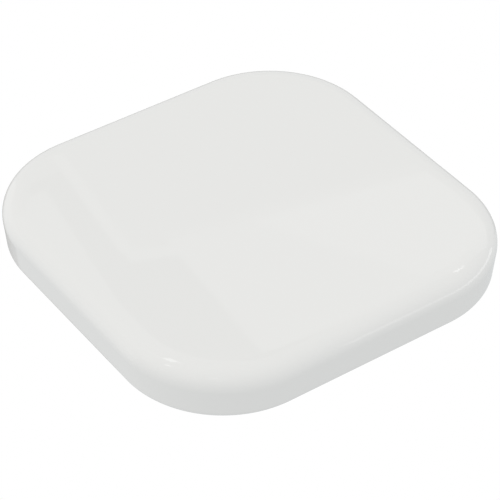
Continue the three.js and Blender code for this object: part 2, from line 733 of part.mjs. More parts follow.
// The fillet's hollow flank from its foot up, as shares of its width and of its height.
const HOLLOW = [[1, 0], [0.55, 0.22], [0.2, 0.6]];

function solderFillet() {
  const inner = WIRE / 2 + SOLDER_GAP;
  const width = SOLDER_RADIUS - inner;
  const profile = [
    [inner, 0],
    ...HOLLOW.map(([out, up]) => [inner + width * out, SOLDER_HEIGHT * up]),
    [inner + SOLDER_LAND, SOLDER_HEIGHT],
    [inner, SOLDER_HEIGHT],
    [inner, 0],
  ].map(([x, y]) => new THREE.Vector2(x, y));
  return new THREE.LatheGeometry(profile, ROUND).rotateX(Math.PI / 2);
}

// A bead on two straight legs, its origin on the board under the bead.
function thermistor() {
  const level = roof - THERMISTOR_GAP - THERMISTOR_RADIUS - boardTop;
  const bead = new THREE.SphereGeometry(THERMISTOR_RADIUS, BEAD_SIDES, BEAD_RINGS);
  bead.rotateX(Math.PI / 2).translate(0, 0, level);
  const leg = (x) => cylinder(THERMISTOR_LEG, 0, level, x, 0, LEG_SIDES);
  return geometryOf(join(bead, leg(-THERMISTOR_PITCH / 2), leg(THERMISTOR_PITCH / 2)));
}

// ---------------------------------------------------------------- Assembly

function piece(name, geometry, finish, x = 0, y = 0, z = 0) {
  const mesh = new THREE.Mesh(geometry, finish);
  mesh.name = name;
  mesh.position.set(x, y, z);
  return mesh;
}

function bodyGroup() {
  const group = new THREE.Group();
  group.add(piece("top_housing", topHousing(), glossWhite));
  group.add(piece("bottom_cover", bottomCover(), mattWhite));
  group.add(piece("foot_ring", footRing(), silicone));
  const screw = coverScrew();
  screwPlaces().forEach(([x, y], i) => {
    group.add(piece(`cover_screw_${i + 1}`, screw, zincScrew, x, y, headSeat));
  });
  group.add(piece("light_pipe", lightPipe(), clearPipe, LED_X, 0, ledLevel));
  return group;
}

function socketGroup() {
  const group = new THREE.Group();
  group.position.set(0, mouth, boardTop);
  group.add(piece("socket_shell", socketShell(), steelSheet));
  group.add(piece("socket_insulator", socketInsulator(), blackMoulding));
  CONTACTS.forEach(([x, face], i) => {
    group.add(piece(`socket_contact_${i + 1}`, socketContact(face, x), goldPlate));
  });
  return group;
}

// Places on the board are { x, rear }: rear is from the board's rear edge to the part's middle.
// A chip's size is its width, depth and height, then the number of leads on each side.
const CHIPS = [
  { name: "controller_chip", make: plainChip, size: [5, 5, 0.9], x: -16.5, rear: 8 },
  { name: "regulator_chip", make: leadedChip, size: [2.9, 1.6, 1.1, 3], x: -22.4, rear: 8 },
  { name: "driver_chip_1", make: leadedChip, size: [4.9, 3.9, 1.5, 4], x: 14.6, rear: 6.5 },
  { name: "driver_chip_2", make: leadedChip, size: [4.9, 3.9, 1.5, 4], x: 20.6, rear: 6.5 },
];

// Rows of like parts: size is length, width, height and cap length, then where the first one is
// and the pitch to the next, along X or to the front.
const CAPACITORS = [
  { name: "resonance_capacitor", size: [3.2, 2.5, 1.9, 0.6], count: 4, x: 8, rear: 2.1, pitchRear: 3.1 },
  { name: "input_capacitor", size: [3.2, 1.6, 1.5, 0.5], count: 2, x: -9.5, rear: 3.2, pitchRear: 2.4 },
  { name: "bypass_capacitor", size: [1.6, 0.8, 0.8, 0.3], count: 4, x: -19.4, rear: 2.6, pitchX: 2.4 },
];
const RESISTORS = [
  { name: "divider_resistor", size: [1.6, 0.8, 0.45, 0.3], count: 4, x: -19.4, rear: 13, pitchX: 2.4 },
  { name: "sense_resistor", size: [6.3, 3.1, 0.6, 0.7], count: 1, x: 17.2, rear: 12.2 },
];

function addRows(group, rows, finish) {
  for (const { name, count, size, x, rear, pitchX = 0, pitchRear = 0 } of rows) {
    for (let i = 0; i < count; i++) {
      const label = count > 1 ? `${name}_${i + 1}` : name;
      group.add(piece(label, passive(...size), finish, x + pitchX * i, boardRear - rear - pitchRear * i));
    }
  }
}

function boardGroup() {
  const group = new THREE.Group();
  group.position.z = boardTop;
  group.add(piece("main_board", mainBoard(), boardGreen, 0, 0, -BOARD_WALL));
  for (const { name, make, size, x, rear } of CHIPS) {
    group.add(piece(name, make(...size), chipBlack, x, boardRear - rear));
  }
  addRows(group, CAPACITORS, ceramicTan);
  addRows(group, RESISTORS, resistorBlack);
  const ledFace = half - SIDE_WALL - PIPE_FLANGE - PIPE_STUB - LIGHT_GAP;
  group.add(piece("status_led", statusLed(), ledWhite, LED_X, ledFace));
  group.add(piece("coil_solder_1", solderFillet(), solderTin, outerPadX, padRow));
  group.add(piece("coil_solder_2", solderFillet(), solderTin, 0, padRow));
  group.add(piece("coil_thermistor", thermistor(), beadBlack, THERMISTOR_X, THERMISTOR_Y));
  return group;
}

function coilGroup() {
  const group = new THREE.Group();
  group.add(piece("roof_tape", tapeRing(ROOF_TAPE), tapeWhite, 0, 0, coilTop));
  group.add(piece("transmitter_coil", transmitterCoil(), litzCopper));
  group.add(piece("ferrite_tape", tapeRing(FERRITE_TAPE), tapeWhite, 0, 0, ferriteTop));
  group.add(piece("ferrite_disc", ferriteDisc(), ferriteGrey, 0, 0, ferriteUnderside));
  return group;
}

const chargingPad = new THREE.Group();
chargingPad.add(bodyGroup(), socketGroup(), boardGroup(), coilGroup());

export default chargingPad;
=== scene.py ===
import math
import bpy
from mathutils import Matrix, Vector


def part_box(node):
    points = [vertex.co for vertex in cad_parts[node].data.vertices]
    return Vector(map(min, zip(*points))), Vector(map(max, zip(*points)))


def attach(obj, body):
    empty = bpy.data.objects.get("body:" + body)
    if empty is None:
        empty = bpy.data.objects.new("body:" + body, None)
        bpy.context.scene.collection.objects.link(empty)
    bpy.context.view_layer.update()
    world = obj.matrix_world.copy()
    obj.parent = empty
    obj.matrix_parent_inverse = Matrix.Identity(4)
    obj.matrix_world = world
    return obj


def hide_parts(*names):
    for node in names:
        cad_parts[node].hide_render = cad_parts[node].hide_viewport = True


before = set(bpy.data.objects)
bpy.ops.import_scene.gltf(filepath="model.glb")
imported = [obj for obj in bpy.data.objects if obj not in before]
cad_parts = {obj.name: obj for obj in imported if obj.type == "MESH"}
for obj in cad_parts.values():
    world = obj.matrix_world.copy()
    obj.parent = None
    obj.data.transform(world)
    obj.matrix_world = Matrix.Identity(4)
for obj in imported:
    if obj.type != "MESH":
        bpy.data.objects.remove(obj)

from types import SimpleNamespace

import bmesh
import bpy
from mathutils import Matrix, Vector

bl_info = {
    "name": "Wireless charging pad",
    "version": (1, 0, 0),
    "blender": (4, 5, 0),
    "location": "View3D > Sidebar > Charging Pad",
    "description": "Models a square wireless charging pad, piece by piece, with its studio stage",
    "category": "Object",
}

MM = 0.001  # a millimetre in the scene's metres; pieces are modelled in millimetres
BODY = "root"
UP = Vector((0, 0, 1))
DOWN = Vector((0, 0, -1))


def corners(node):
    """A CAD node's lowest and highest corners, in millimetres."""
    low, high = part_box(node)
    return low / MM, high / MM


def middle_of(node):
    """The middle of a CAD node seen from above, in millimetres."""
    low, high = corners(node)
    return (low.x + high.x) / 2, (low.y + high.y) / 2


def linear(code):
    """An sRGB hex colour as linear red, green and blue."""
    values = [int(code[i:i + 2], 16) / 255 for i in (1, 3, 5)]
    return [v / 12.92 if v <= 0.04045 else ((v + 0.055) / 1.055) ** 2.4 for v in values]


# ------------------------------------------------------------------ Sizes and colours

def length(name, description, millimetres):
    return bpy.props.FloatProperty(
        name=name, description=description, default=millimetres * MM, unit="LENGTH", precision=5
    )


def colour(name, description, code):
    return bpy.props.FloatVectorProperty(
        name=name, description=description, default=linear(code), subtype="COLOR", size=3, min=0, max=1
    )


class PadSizes(bpy.types.PropertyGroup):
    """Shape of the body's outside."""

    corner_radius: length("Corner radius", "Radius of the plan's corners", 24.5)
    edge_run: length("Edge run", "How far the top edge's rounding reaches in over the top", 5.4)
    edge_drop: length("Edge drop", "How far the top edge's rounding reaches down the side", 4.0)
    side_taper: length("Side taper", "How much the side draws in on its way down", 0.5)
    lip_radius: length("Lip radius", "Rounding between the side and the underside", 1.7)
    side_wall: length("Side wall", "Thickness of the housing's side", 2.6)
    roof_wall: length("Roof wall", "Thickness of the charging face", 1.8)
    wire: length("Wire", "Diameter of the coil's served wire", 1.1)


class PadColours(bpy.types.PropertyGroup):
    """Colours of the finishes."""

    housing: colour("Housing", "Polished white plastic", "#E9E9E7")
    cover: colour("Cover", "Textured white plastic", "#E0E0DD")
    foot: colour("Foot", "Silicone", "#C4C6C5")
    board: colour("Board", "Solder mask over copper and laminate", "#14532F")
    chips: colour("Chips", "Epoxy moulding compound", "#1E1F21")
    ceramic: colour("Ceramic", "Capacitor bodies", "#A98459")
    copper: colour("Copper", "Litz strands under a clear serving", "#B8693A")
    ferrite: colour("Ferrite", "Sintered ferrite", "#34353A")
    tape: colour("Tape", "Tissue tape", "#DAD6C8")


# ------------------------------------------------------------------ Shapes

def rounded_face(bm, width, depth, radius, segments):
    """One flat face at height 0, a rectangle with its four corners rounded."""
    bmesh.ops.create_grid(bm, x_segments=1, y_segments=1, size=0.5)
    bmesh.ops.scale(bm, vec=(width, depth, 1), verts=bm.verts)
    bmesh.ops.bevel(
        bm, geom=bm.verts[:], offset=radius, offset_type="OFFSET",
        affect="VERTICES", segments=segments, profile=0.5, material=-1,
    )
    bmesh.ops.remove_doubles(bm, verts=bm.verts, dist=1e-4)
    return bm.faces[:][0]


def twin(bm, face):
    """A copy of a face that looks the other way."""
    made = bmesh.ops.duplicate(bm, geom=[face, *face.edges, *face.verts])["geom"]
    copy = next(g for g in made if isinstance(g, bmesh.types.BMFace))
    bmesh.ops.reverse_faces(bm, faces=[copy])
    return copy


def carry(bm, face, steps):
    """Carries a face through (inward, rise) steps, leaving a band of wall behind it at each one."""
    for inward, rise in steps:
        if inward > 0:
            bmesh.ops.inset_region(
                bm, faces=[face], thickness=inward, use_even_offset=True, use_boundary=True
            )
        else:
            face = bmesh.ops.extrude_discrete_faces(bm, faces=[face])["faces"][0]
        bmesh.ops.translate(bm, verts=face.verts, vec=(0, 0, rise))
    return face


def rounding(run, rise, count, power=2.0):
    """Steps of a rounding that starts upright and ends level; a power of 2 is an ellipse."""
    def place(step):
        angle = step / count * math.pi / 2
        return run * (1 - max(math.cos(angle), 0) ** (2 / power)), rise * math.sin(angle) ** (2 / power)

    places = [place(step) for step in range(count + 1)]
    return [(b[0] - a[0], b[1] - a[1]) for a, b in zip(places, places[1:])]


def turned_over(steps):
    """The same rounding from level to upright."""
    return list(reversed(steps))


def held(inward, rise, share=0.06):
    """One straight step with a narrow band at each end, so that its middle shades flat."""
    return [(inward * part, rise * part) for part in (share, 1 - 2 * share, share)]


def block(bm, low, high, bevel=0.0, segments=2, index=0):
    """A box between two corners with its edges rounded."""
    low, high = Vector(low), Vector(high)
    made = bmesh.ops.create_cube(bm, size=1)["verts"]
    bmesh.ops.scale(bm, vec=high - low, verts=made)
    bmesh.ops.translate(bm, vec=(low + high) / 2, verts=made)
    faces = {f for v in made for f in v.link_faces}
    for f in faces:
        f.material_index = index
    if bevel > 0:
        edges = list({e for v in made for e in v.link_edges})
        bmesh.ops.bevel(
            bm, geom=edges, offset=bevel, offset_type="OFFSET",
            affect="EDGES", segments=segments, profile=0.5, material=-1,
        )


def turned(bm, profile, segments, x=0.0, y=0.0, index=0):
    """Spins a profile of (radius, height) points about an upright axis."""
    before = set(bm.faces)
    verts = [bm.verts.new((x + radius, y, height)) for radius, height in profile]
    edges = [bm.edges.new(pair) for pair in zip(verts, verts[1:])]
    bmesh.ops.spin(
        bm, geom=verts + edges, cent=(x, y, 0), axis=UP,
        angle=math.tau, steps=segments, use_merge=True,
    )
    made = [f for f in bm.faces if f not in before]
    for f in made:
        f.material_index = index
    bmesh.ops.remove_doubles(bm, verts=list({v for f in made for v in f.verts}), dist=1e-5)


def rod(radius, start, end):
    """The profile of a solid cylinder between two heights."""
    return [(0, start), (radius, start), (radius, end), (0, end)]


def ring(inner, outer, start, end):
    """The profile of a ring between two heights."""
    return [(inner, start), (outer, start), (outer, end), (inner, end), (inner, start)]


def spun(profile, segments, x=0.0, y=0.0):
    """A turned shape as a bmesh of its own."""
    bm = bmesh.new()
    turned(bm, profile, segments, x, y)
    return bm


def boxed(low, high):
    """A box as a bmesh of its own."""
    bm = bmesh.new()
    block(bm, low, high)
    return bm


def face_at(bm, normal, point):
    """Of the faces that look along a direction, the one nearest to a point."""
    along = [f for f in bm.faces if f.normal.dot(normal) > 0.99]
    return min(along, key=lambda f: (f.calc_center_median() - Vector(point)).length)


def grow(bm, normal, point, way):
    """Extrudes the face that looks along a direction near a point, and moves its end by a vector."""
    bm.normal_update()
    face = bmesh.ops.extrude_discrete_faces(bm, faces=[face_at(bm, normal, point)])["faces"][0]
    bmesh.ops.translate(bm, verts=face.verts, vec=way)
    bm.normal_update()


def strip(bm, path, across, sheet, index=0):
    """A strip of sheet bent along a path on one of its faces; its thickness lies on the side that
    the path's way crossed with its width, across, points to. It gives back the faces on the path."""
    before = set(bm.faces)
    across = Vector(across)
    path = [Vector(point) for point in path]
    edge = bm.edges.new([bm.verts.new(path[0] + across * share) for share in (0.5, -0.5)])
    for start, end in zip(path, path[1:]):
        made = bmesh.ops.extrude_edge_only(bm, edges=[edge])["geom"]
        ends = [g for g in made if isinstance(g, bmesh.types.BMVert)]
        bmesh.ops.translate(bm, verts=ends, vec=end - start)
        edge = next(g for g in made if isinstance(g, bmesh.types.BMEdge) and set(g.verts) == set(ends))
    run = [f for f in bm.faces if f not in before]
    bm.normal_update()
    bmesh.ops.solidify(bm, geom=run, thickness=sheet)
    for f in bm.faces:
        if f not in before:
            f.material_index = index
    return run


def mesh_of(bm, name):
    """Closes a bmesh up, turns its faces out, and makes it a mesh in metres."""
    bmesh.ops.remove_doubles(bm, verts=bm.verts, dist=1e-5)
    bmesh.ops.recalc_face_normals(bm, faces=bm.faces)
    bmesh.ops.scale(bm, vec=(MM, MM, MM), verts=bm.verts)
    mesh = bpy.data.meshes.new(name)
    bm.to_mesh(mesh)
    bm.free()
    return mesh


def add_object(name, data):
    """A new object in the scene, at the origin."""
    made = bpy.data.objects.new(name, data)
    bpy.context.scene.collection.objects.link(made)
    return made


def hide(thing, *rays):
    """Keeps kinds of ray from seeing an object."""
    for ray in rays:
        setattr(thing, f"visible_{ray}", False)


def carve(bm, tools, operation="DIFFERENCE"):
    """Cuts or joins closed shapes, given as bmeshes, into a bmesh, and gives back the new bmesh."""
    work = add_object("work", mesh_of(bm, "work"))
    cutters = []
    for tool in tools:
        cutter = add_object("tool", mesh_of(tool, "tool"))
        modifier = work.modifiers.new("tool", "BOOLEAN")
        modifier.operation = operation
        modifier.solver = "EXACT"
        modifier.object = cutter
        cutters.append(cutter)
    carved = bmesh.new()
    carved.from_object(work, bpy.context.evaluated_depsgraph_get())
    bmesh.ops.scale(carved, vec=(1 / MM, 1 / MM, 1 / MM), verts=carved.verts)
    bmesh.ops.dissolve_degenerate(carved, dist=1e-4, edges=carved.edges)
    for used in [work, *cutters]:
        mesh = used.data
        bpy.data.objects.remove(used)
        bpy.data.meshes.remove(mesh)
    return carved


def add_piece(name, bm, materials, nodes=None, sharp=35.0):
    """Makes a finished piece from a bmesh: it rides on the body and stands for its CAD nodes."""
    mesh = mesh_of(bm, name)
    mesh.shade_smooth()
    mesh.set_sharp_from_angle(angle=math.radians(sharp))
    for material in materials:
        mesh.materials.append(material)
    piece = add_object(name, mesh)
    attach(piece, BODY)
    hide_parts(*(nodes or [name.removesuffix("_finished")]))
    return piece


# ------------------------------------------------------------------ Materials

def add_node(tree, kind, settings=None, links=None):
    """Adds a node, sets its attributes or sockets, and links its inputs to outputs."""
    node = tree.nodes.new(kind)
    for key, value in (settings or {}).items():
        if isinstance(key, str) and hasattr(node, key):
            setattr(node, key, value)
        else:
            node.inputs[key].default_value = value
    for key, output in (links or {}).items():
        tree.links.new(output, node.inputs[key])
    return node


def new_material(name, sockets):
    """A material with a Principled shader whose sockets are set; gives the material and the shader."""
    material = bpy.data.materials.get(name) or bpy.data.materials.new(name)
    material.use_nodes = True
    tree = material.node_tree
    tree.nodes.clear()
    shader = add_node(tree, "ShaderNodeBsdfPrincipled")
    add_node(tree, "ShaderNodeOutputMaterial", links={"Surface": shader.outputs["BSDF"]})
    for socket, value in sockets.items():
        shader.inputs[socket].default_value = (*value, 1.0) if socket == "Base Color" else value
    return material, shader


def tint(tree, shader, factor, rgb, gains, places=(0.0, 1.0)):
    """Colours a shader between two gains of one colour, darker and lighter."""
    ramp = add_node(tree, "ShaderNodeValToRGB", links={"Fac": factor})
    for stop, place, gain in zip(ramp.color_ramp.elements, places, gains):
        stop.position = place
        stop.color = (*(min(c * gain, 1) for c in rgb), 1)
    tree.links.new(ramp.outputs["Color"], shader.inputs["Base Color"])


def emboss(tree, shader, height, depth, strength=1.0):
    """Bumps a shader's surface by a depth in millimetres."""
    settings = {"Strength": strength, "Distance": depth * MM}
    bump = add_node(tree, "ShaderNodeBump", settings, {"Height": height})
    tree.links.new(bump.outputs["Normal"], shader.inputs["Normal"])


MIDDLE_OF_NOISE = (0.3, 0.7)  # the values that most of a noise lies between


def noise_of(tree, place, size, detail):
    """Noise with patches of a size in millimetres."""
    settings = {"Scale": 1 / (size * MM), "Detail": detail}
    return add_node(tree, "ShaderNodeTexNoise", settings, {"Vector": place}).outputs["Fac"]


def mottle(material, shader, rgb, size, change):
    """Lets a colour drift between a darker and a lighter tone in patches of a size in millimetres."""
    tree = material.node_tree
    place = add_node(tree, "ShaderNodeTexCoord").outputs["Object"]
    tint(tree, shader, noise_of(tree, place, size, 3.0), rgb, (1 - change, 1 + change), MIDDLE_OF_NOISE)


def grain(material, shader, size, depth, roughness, detail=2.0, stretch=(1, 1, 1)):
    """Bumps of a size and depth in millimetres, which also vary the roughness between two values."""
    tree = material.node_tree
    place = add_node(tree, "ShaderNodeTexCoord").outputs["Object"]
    drawn = add_node(tree, "ShaderNodeMapping", {"Scale": stretch}, {"Vector": place})
    noise = noise_of(tree, drawn.outputs["Vector"], size, detail)
    emboss(tree, shader, noise, depth)
    span = dict(zip(("From Min", "From Max", "To Min", "To Max"), (*MIDDLE_OF_NOISE, *roughness)))
    spread = add_node(tree, "ShaderNodeMapRange", span, {"Value": noise})
    tree.links.new(spread.outputs["Result"], shader.inputs["Roughness"])


METAL = {"Metallic": 1.0}

# The plain finishes: a colour (a hex code or one of PadColours), other sockets, patches (their size and
# how far their tone drifts, or None), and the grain's size, depth, roughness, detail and stretch
FINISHES = {
    # White ABS from a mirror-polished tool: wet-looking gloss with a barely uneven reflection
    "polished_abs": ("housing", {"IOR": 1.54}, None, (9.0, 0.0008, (0.012, 0.025), 1.0)),
    # White ABS from a spark-eroded tool: an even fine sparkle that kills the gloss
    "spark_textured_abs": ("cover", {"IOR": 1.54}, None, (0.35, 0.03, (0.42, 0.58), 4.0)),
    # Cured silicone: matt, with a faint bloom of light at its edges
    "silicone_rubber": (
        "foot", {"IOR": 1.41, "Sheen Weight": 0.15, "Sheen Roughness": 0.4},
        (2.5, 0.03), (0.2, 0.012, (0.6, 0.75), 3.0),
    ),
    # Bright zinc over a cold-headed screw: clean metal with fine pulled marks
    "zinc_plated_steel": (
        "#BFC1C3", METAL, (0.5, 0.05), (0.12, 0.004, (0.22, 0.36), 2.0, (1, 1, 4)),
    ),
    # Moulded acrylic, lightly frosted, so it glows instead of showing what is behind it
    "clear_acrylic": (
        "#F4F8FA", {"IOR": 1.49, "Transmission Weight": 0.7}, None, (0.08, 0.004, (0.25, 0.35)),
    ),
    # Nickel over deep-drawn steel: warm grey metal with faint draw lines along its length
    "nickel_plated_steel": (
        "#C9C7C2", METAL, (1.2, 0.03), (0.3, 0.003, (0.2, 0.3), 2.0, (1, 0.08, 1)),
    ),
    # Black glass-filled moulding: dull, with pale flecks of fibre
    "liquid_crystal_polymer": ("#202123", {"IOR": 1.6}, (0.15, 0.35), (0.12, 0.006, (0.4, 0.55))),
    # Hard gold over bronze strip: a satin yellow metal
    "gold_plated_bronze": ("#E3B65B", METAL, (0.4, 0.04), (0.15, 0.002, (0.2, 0.3))),
    # Moulded epoxy with silica filler: near-black, matt, evenly pitted
    "epoxy_compound": ("chips", {"IOR": 1.55}, (0.2, 0.2), (0.1, 0.008, (0.5, 0.65), 3.0)),
    # Reflowed tin: bright, soft-edged metal with a grain of tiny crystals
    "tin_plating": ("#D2D3D3", METAL, (0.3, 0.05), (0.25, 0.008, (0.18, 0.34))),
    # Fired ceramic of a chip capacitor: smooth tan with a slight waxy shine
    "barium_titanate": ("ceramic", {"IOR": 1.6}, (0.6, 0.08), (0.3, 0.004, (0.3, 0.42))),
    # Black glass glaze over a chip resistor's film: smooth and glossy
    "resistor_glaze": ("#141517", {"IOR": 1.52}, (0.5, 0.15), (0.4, 0.003, (0.12, 0.22))),
    # White reflector moulding of a small light: matt and very bright
    "white_polyamide": ("#F1EFE6", {"IOR": 1.53}, (0.4, 0.02), (0.1, 0.003, (0.4, 0.5))),
    # Yellow phosphor in clear silicone: a soft glossy dome
    "phosphor_gel": ("#E8CF6A", {"IOR": 1.41}, (0.2, 0.08), (0.2, 0.002, (0.15, 0.25))),
    # Pressed and fired ferrite: dark grey with the faint granular pits of a ceramic
    "sintered_ferrite": ("ferrite", {"IOR": 1.6}, (1.5, 0.12), (0.25, 0.01, (0.45, 0.65), 4.0)),
    # Adhesive tissue tape: off-white with long fibres across its width
    "tissue_tape": ("tape", {"IOR": 1.47}, (0.8, 0.06), (0.6, 0.01, (0.6, 0.8), 6.0, (1, 0.2, 1))),
    # Dipped epoxy of a bead: a glossy black drop
    "bead_epoxy": ("#17181A", {"IOR": 1.55}, (0.6, 0.1), (0.8, 0.01, (0.12, 0.2))),
}


def plain_material(name):
    """One of the plain finishes as a material."""
    tone, sockets, patches, texture = FINISHES[name]
    rgb = linear(tone) if tone.startswith("#") else getattr(bpy.context.scene.pad_colours, tone)
    material, shader = new_material(name, {"Base Color": rgb, **sockets})
    if patches:
        mottle(material, shader, rgb, *patches)
    grain(material, shader, *texture)
    return material


# Scale at which a wave along an axis has one band to the unit; along a diagonal it has half as many
BAND = math.tau / 20


def solder_mask(colours):
    """Green solder mask over woven laminate: glossy lacquer with the weave just showing through."""
    material, shader = new_material(
        "solder_mask", {"IOR": 1.5, "Roughness": 0.3, "Coat Weight": 0.4, "Coat Roughness": 0.12}
    )
    tree = material.node_tree
    place = add_node(tree, "ShaderNodeTexCoord").outputs["Object"]
    thread = 1 / (2.2 * MM)  # cloth threads every 0.5 mm, drawn 2.2 mm apart so that they show
    waves = [
        add_node(
            tree, "ShaderNodeTexWave",
            {"wave_type": "BANDS", "bands_direction": axis, "Scale": BAND * thread, "Distortion": 0.4},
            {"Vector": place},
        ).outputs["Fac"]
        for axis in ("X", "Y")
    ]
    product = add_node(
        tree, "ShaderNodeMath", {"operation": "MULTIPLY", 0: 0.5}, {0: waves[0], 1: waves[1]}
    )
    weave = product.outputs["Value"]
    tint(tree, shader, weave, colours.board, (0.9, 1.12))
    emboss(tree, shader, weave, 0.004, 0.6)
    return material


def served_litz(colours, run):
    """Twisted copper strands under a clear nylon serving: a rope of thin glints along the wire."""
    material, shader = new_material(
        "served_litz", {"Metallic": 0.75, "Roughness": 0.38, "Coat Weight": 0.3, "Coat Roughness": 0.25}
    )
    tree = material.node_tree
    strip = add_node(tree, "ShaderNodeUVMap", {"uv_map": "UVMap"}).outputs["UV"]
    # A strand goes once round the bundle in 12 mm, and eight of them are drawn so that they show.
    twist = add_node(tree, "ShaderNodeMapping", {"Scale": (8 * run / 12, 8, 1)}, {"Vector": strip})
    lay = add_node(
        tree, "ShaderNodeTexWave",
        {"wave_type": "BANDS", "bands_direction": "DIAGONAL", "Scale": 2 * BAND},
        {"Vector": twist.outputs["Vector"]},
    ).outputs["Fac"]
    tint(tree, shader, lay, colours.copper, (0.55, 1.15))
    emboss(tree, shader, lay, 0.04)
    return material


# ------------------------------------------------------------------ Housing, cover and foot

PLAN_SEGMENTS = 28  # facets of each corner of the plan
EDGE_STEPS = 14
LIP_STEPS = 8  # of the lower and the inner roundings
TOP_BAND = 0.6  # a narrow band round the flat top, so that the top shades flat
EDGE_POWER = 2.2  # squareness of the top edge's rounding, where 2 is an ellipse
RIM_WALL = 1.1
RIM_HEIGHT = 0.9
COVER_WALL = 1.6
COVER_EDGE = 0.2  # rounding of the cover's lower edge
FOOT_WIDTH = 5.0
FOOT_GAP = 0.12
FOOT_EDGE = 0.3
BOSS_RADIUS = 3.1
SCREW_BORE = 1.1
HEAD_BORE = 2.25
HEAD_SEAT = 1.3  # the underside to the screws' seats
BOSS_ROOF = 1.4  # left between a pilot hole and the roof
PIN_RADIUS = 0.9
PIN_TIP = 0.2  # chamfer
PIN_PLACE = 34.5  # from the middle of the pad
REST_RADIUS = 12.0
REST_WALL = 1.2
GUSSET = (1.1, 3.2)  # thickness, and height down from the roof
GUSSET_SHARE = 0.98  # of the way from a boss to the side wall
NEST_WALL = 1.0
NEST_GAP = 0.3
GATE_BEYOND = 1.7  # how far the gate for the coil's leads runs past the ring
OVERSHOOT = 1.0  # how far a cutting shape runs past what it cuts
SUNK = 0.1  # how deep a joined shape starts in what it joins
FLAT = 0.01  # left of each side between the roundings of a round-ended opening
SOCKET_WIDTH = 8.94
SOCKET_GAP = 0.25
PIPE_RADIUS = 0.8
PIPE_GAP = 0.1
SOCKET_LEAD_IN = 0.35  # rounding at the mouth of the socket's opening
PIPE_LEAD_IN = 0.12
BREAK = 0.2  # chamfer round the screw holes


def millimetres(group):
    """A property group's lengths, in millimetres."""
    names = [p.identifier for p in group.bl_rna.properties if p.identifier not in ("rna_type", "name")]
    return SimpleNamespace(**{name: getattr(group, name) / MM for name in names})


def plan_face(bm, sizes, half, level, segments=PLAN_SEGMENTS):
    """The pad's plan at a height, with its corners on the body's own centres, facing up."""
    inset = corners("top_housing")[1].x - half
    face = rounded_face(bm, 2 * half, 2 * half, sizes.corner_radius - inset, segments)
    bmesh.ops.translate(bm, verts=face.verts, vec=(0, 0, level))
    return face


def screw_places():
    """The four screws' middles."""
    return [middle_of(f"cover_screw_{i}") for i in range(1, 5)]


def lay_back(bm, x, y, z):
    """Turns a shape drawn upwards from its mouth so that it runs forward from the rear, and places it."""
    bmesh.ops.rotate(bm, cent=(0, 0, 0), matrix=Matrix.Rotation(math.pi / 2, 3, "X"), verts=bm.verts)
    bmesh.ops.translate(bm, vec=(x, y, z), verts=bm.verts)


def rear_tool(sizes, node, width, height, lead_in):
    """A round-ended opening through the rear wall round a node, with a rounded edge at its mouth."""
    body_low, body_high = corners("top_housing")
    low, high = corners(node)
    middle = (low + high) / 2
    widest = body_high.z - sizes.edge_drop
    slope = sizes.side_taper / (widest - body_low.z - sizes.lip_radius)
    tool = bmesh.new()
    outer = height + 2 * lead_in
    face = rounded_face(tool, width + 2 * lead_in, outer, outer / 2 - FLAT, 16)
    twin(tool, face)
    mouth = turned_over(rounding(lead_in, lead_in, 5))
    carry(tool, face, [(0, OVERSHOOT), *mouth, (0, sizes.side_wall)])
    lay_back(tool, middle.x, body_high.y + slope * (middle.z - widest) + OVERSHOOT, middle.z)
    shear = Matrix.Identity(4)
    shear[1][2] = slope
    bmesh.ops.transform(tool, matrix=shear, space=Matrix.Translation(-middle), verts=tool.verts)
    return tool


def housing_shell(sizes):
    """The housing's outside and inside as one closed wall, open underneath."""
    low, high = corners("top_housing")
    widest = high.z - sizes.edge_drop
    roof = high.z - sizes.roof_wall
    side = widest - low.z - sizes.lip_radius
    bm = bmesh.new()
    face = plan_face(bm, sizes, high.x, widest)
    below = twin(bm, face)
    carry(bm, face, [*rounding(sizes.edge_run, sizes.edge_drop, EDGE_STEPS, EDGE_POWER), (TOP_BAND, 0)])
    carry(bm, below, [
        *held(sizes.side_taper, -side),
        *rounding(sizes.lip_radius, -sizes.lip_radius, LIP_STEPS),
        (sizes.side_wall - sizes.side_taper - sizes.lip_radius, 0),
        (0, widest - low.z),
        *rounding(sizes.edge_run - sizes.side_wall, roof - widest, LIP_STEPS, EDGE_POWER),
    ])
    return bm


def housing_bosses(sizes):
    """The screw bosses with their gussets, and the ring that the ferrite nests in, hung from the roof."""
    board_top = corners("main_board")[1].z
    ferrite = corners("ferrite_disc")
    roof = corners("top_housing")[1].z - sizes.roof_wall
    held_in = roof + sizes.roof_wall / 2
    tools = []
    for x, y in screw_places():
        tools.append(spun(rod(BOSS_RADIUS, board_top, held_in), 32, x, y))
        corner_centre = (corners("top_housing")[1].x - sizes.corner_radius) * math.sqrt(2)
        reach = (corner_centre + sizes.corner_radius - sizes.side_wall - math.hypot(x, y)) * GUSSET_SHARE
        rib = boxed((0, -GUSSET[0] / 2, roof - GUSSET[1]), (reach, GUSSET[0] / 2, held_in))
        turn = Matrix.Rotation(math.atan2(y, x), 3, "Z")
        bmesh.ops.rotate(rib, cent=(0, 0, 0), matrix=turn, verts=rib.verts)
        bmesh.ops.translate(rib, vec=(x, y, 0), verts=rib.verts)
        tools.append(rib)
    inner = ferrite[1].x + NEST_GAP
    tools.append(spun(ring(inner, inner + NEST_WALL, ferrite[0].z, held_in), 96))
    return tools


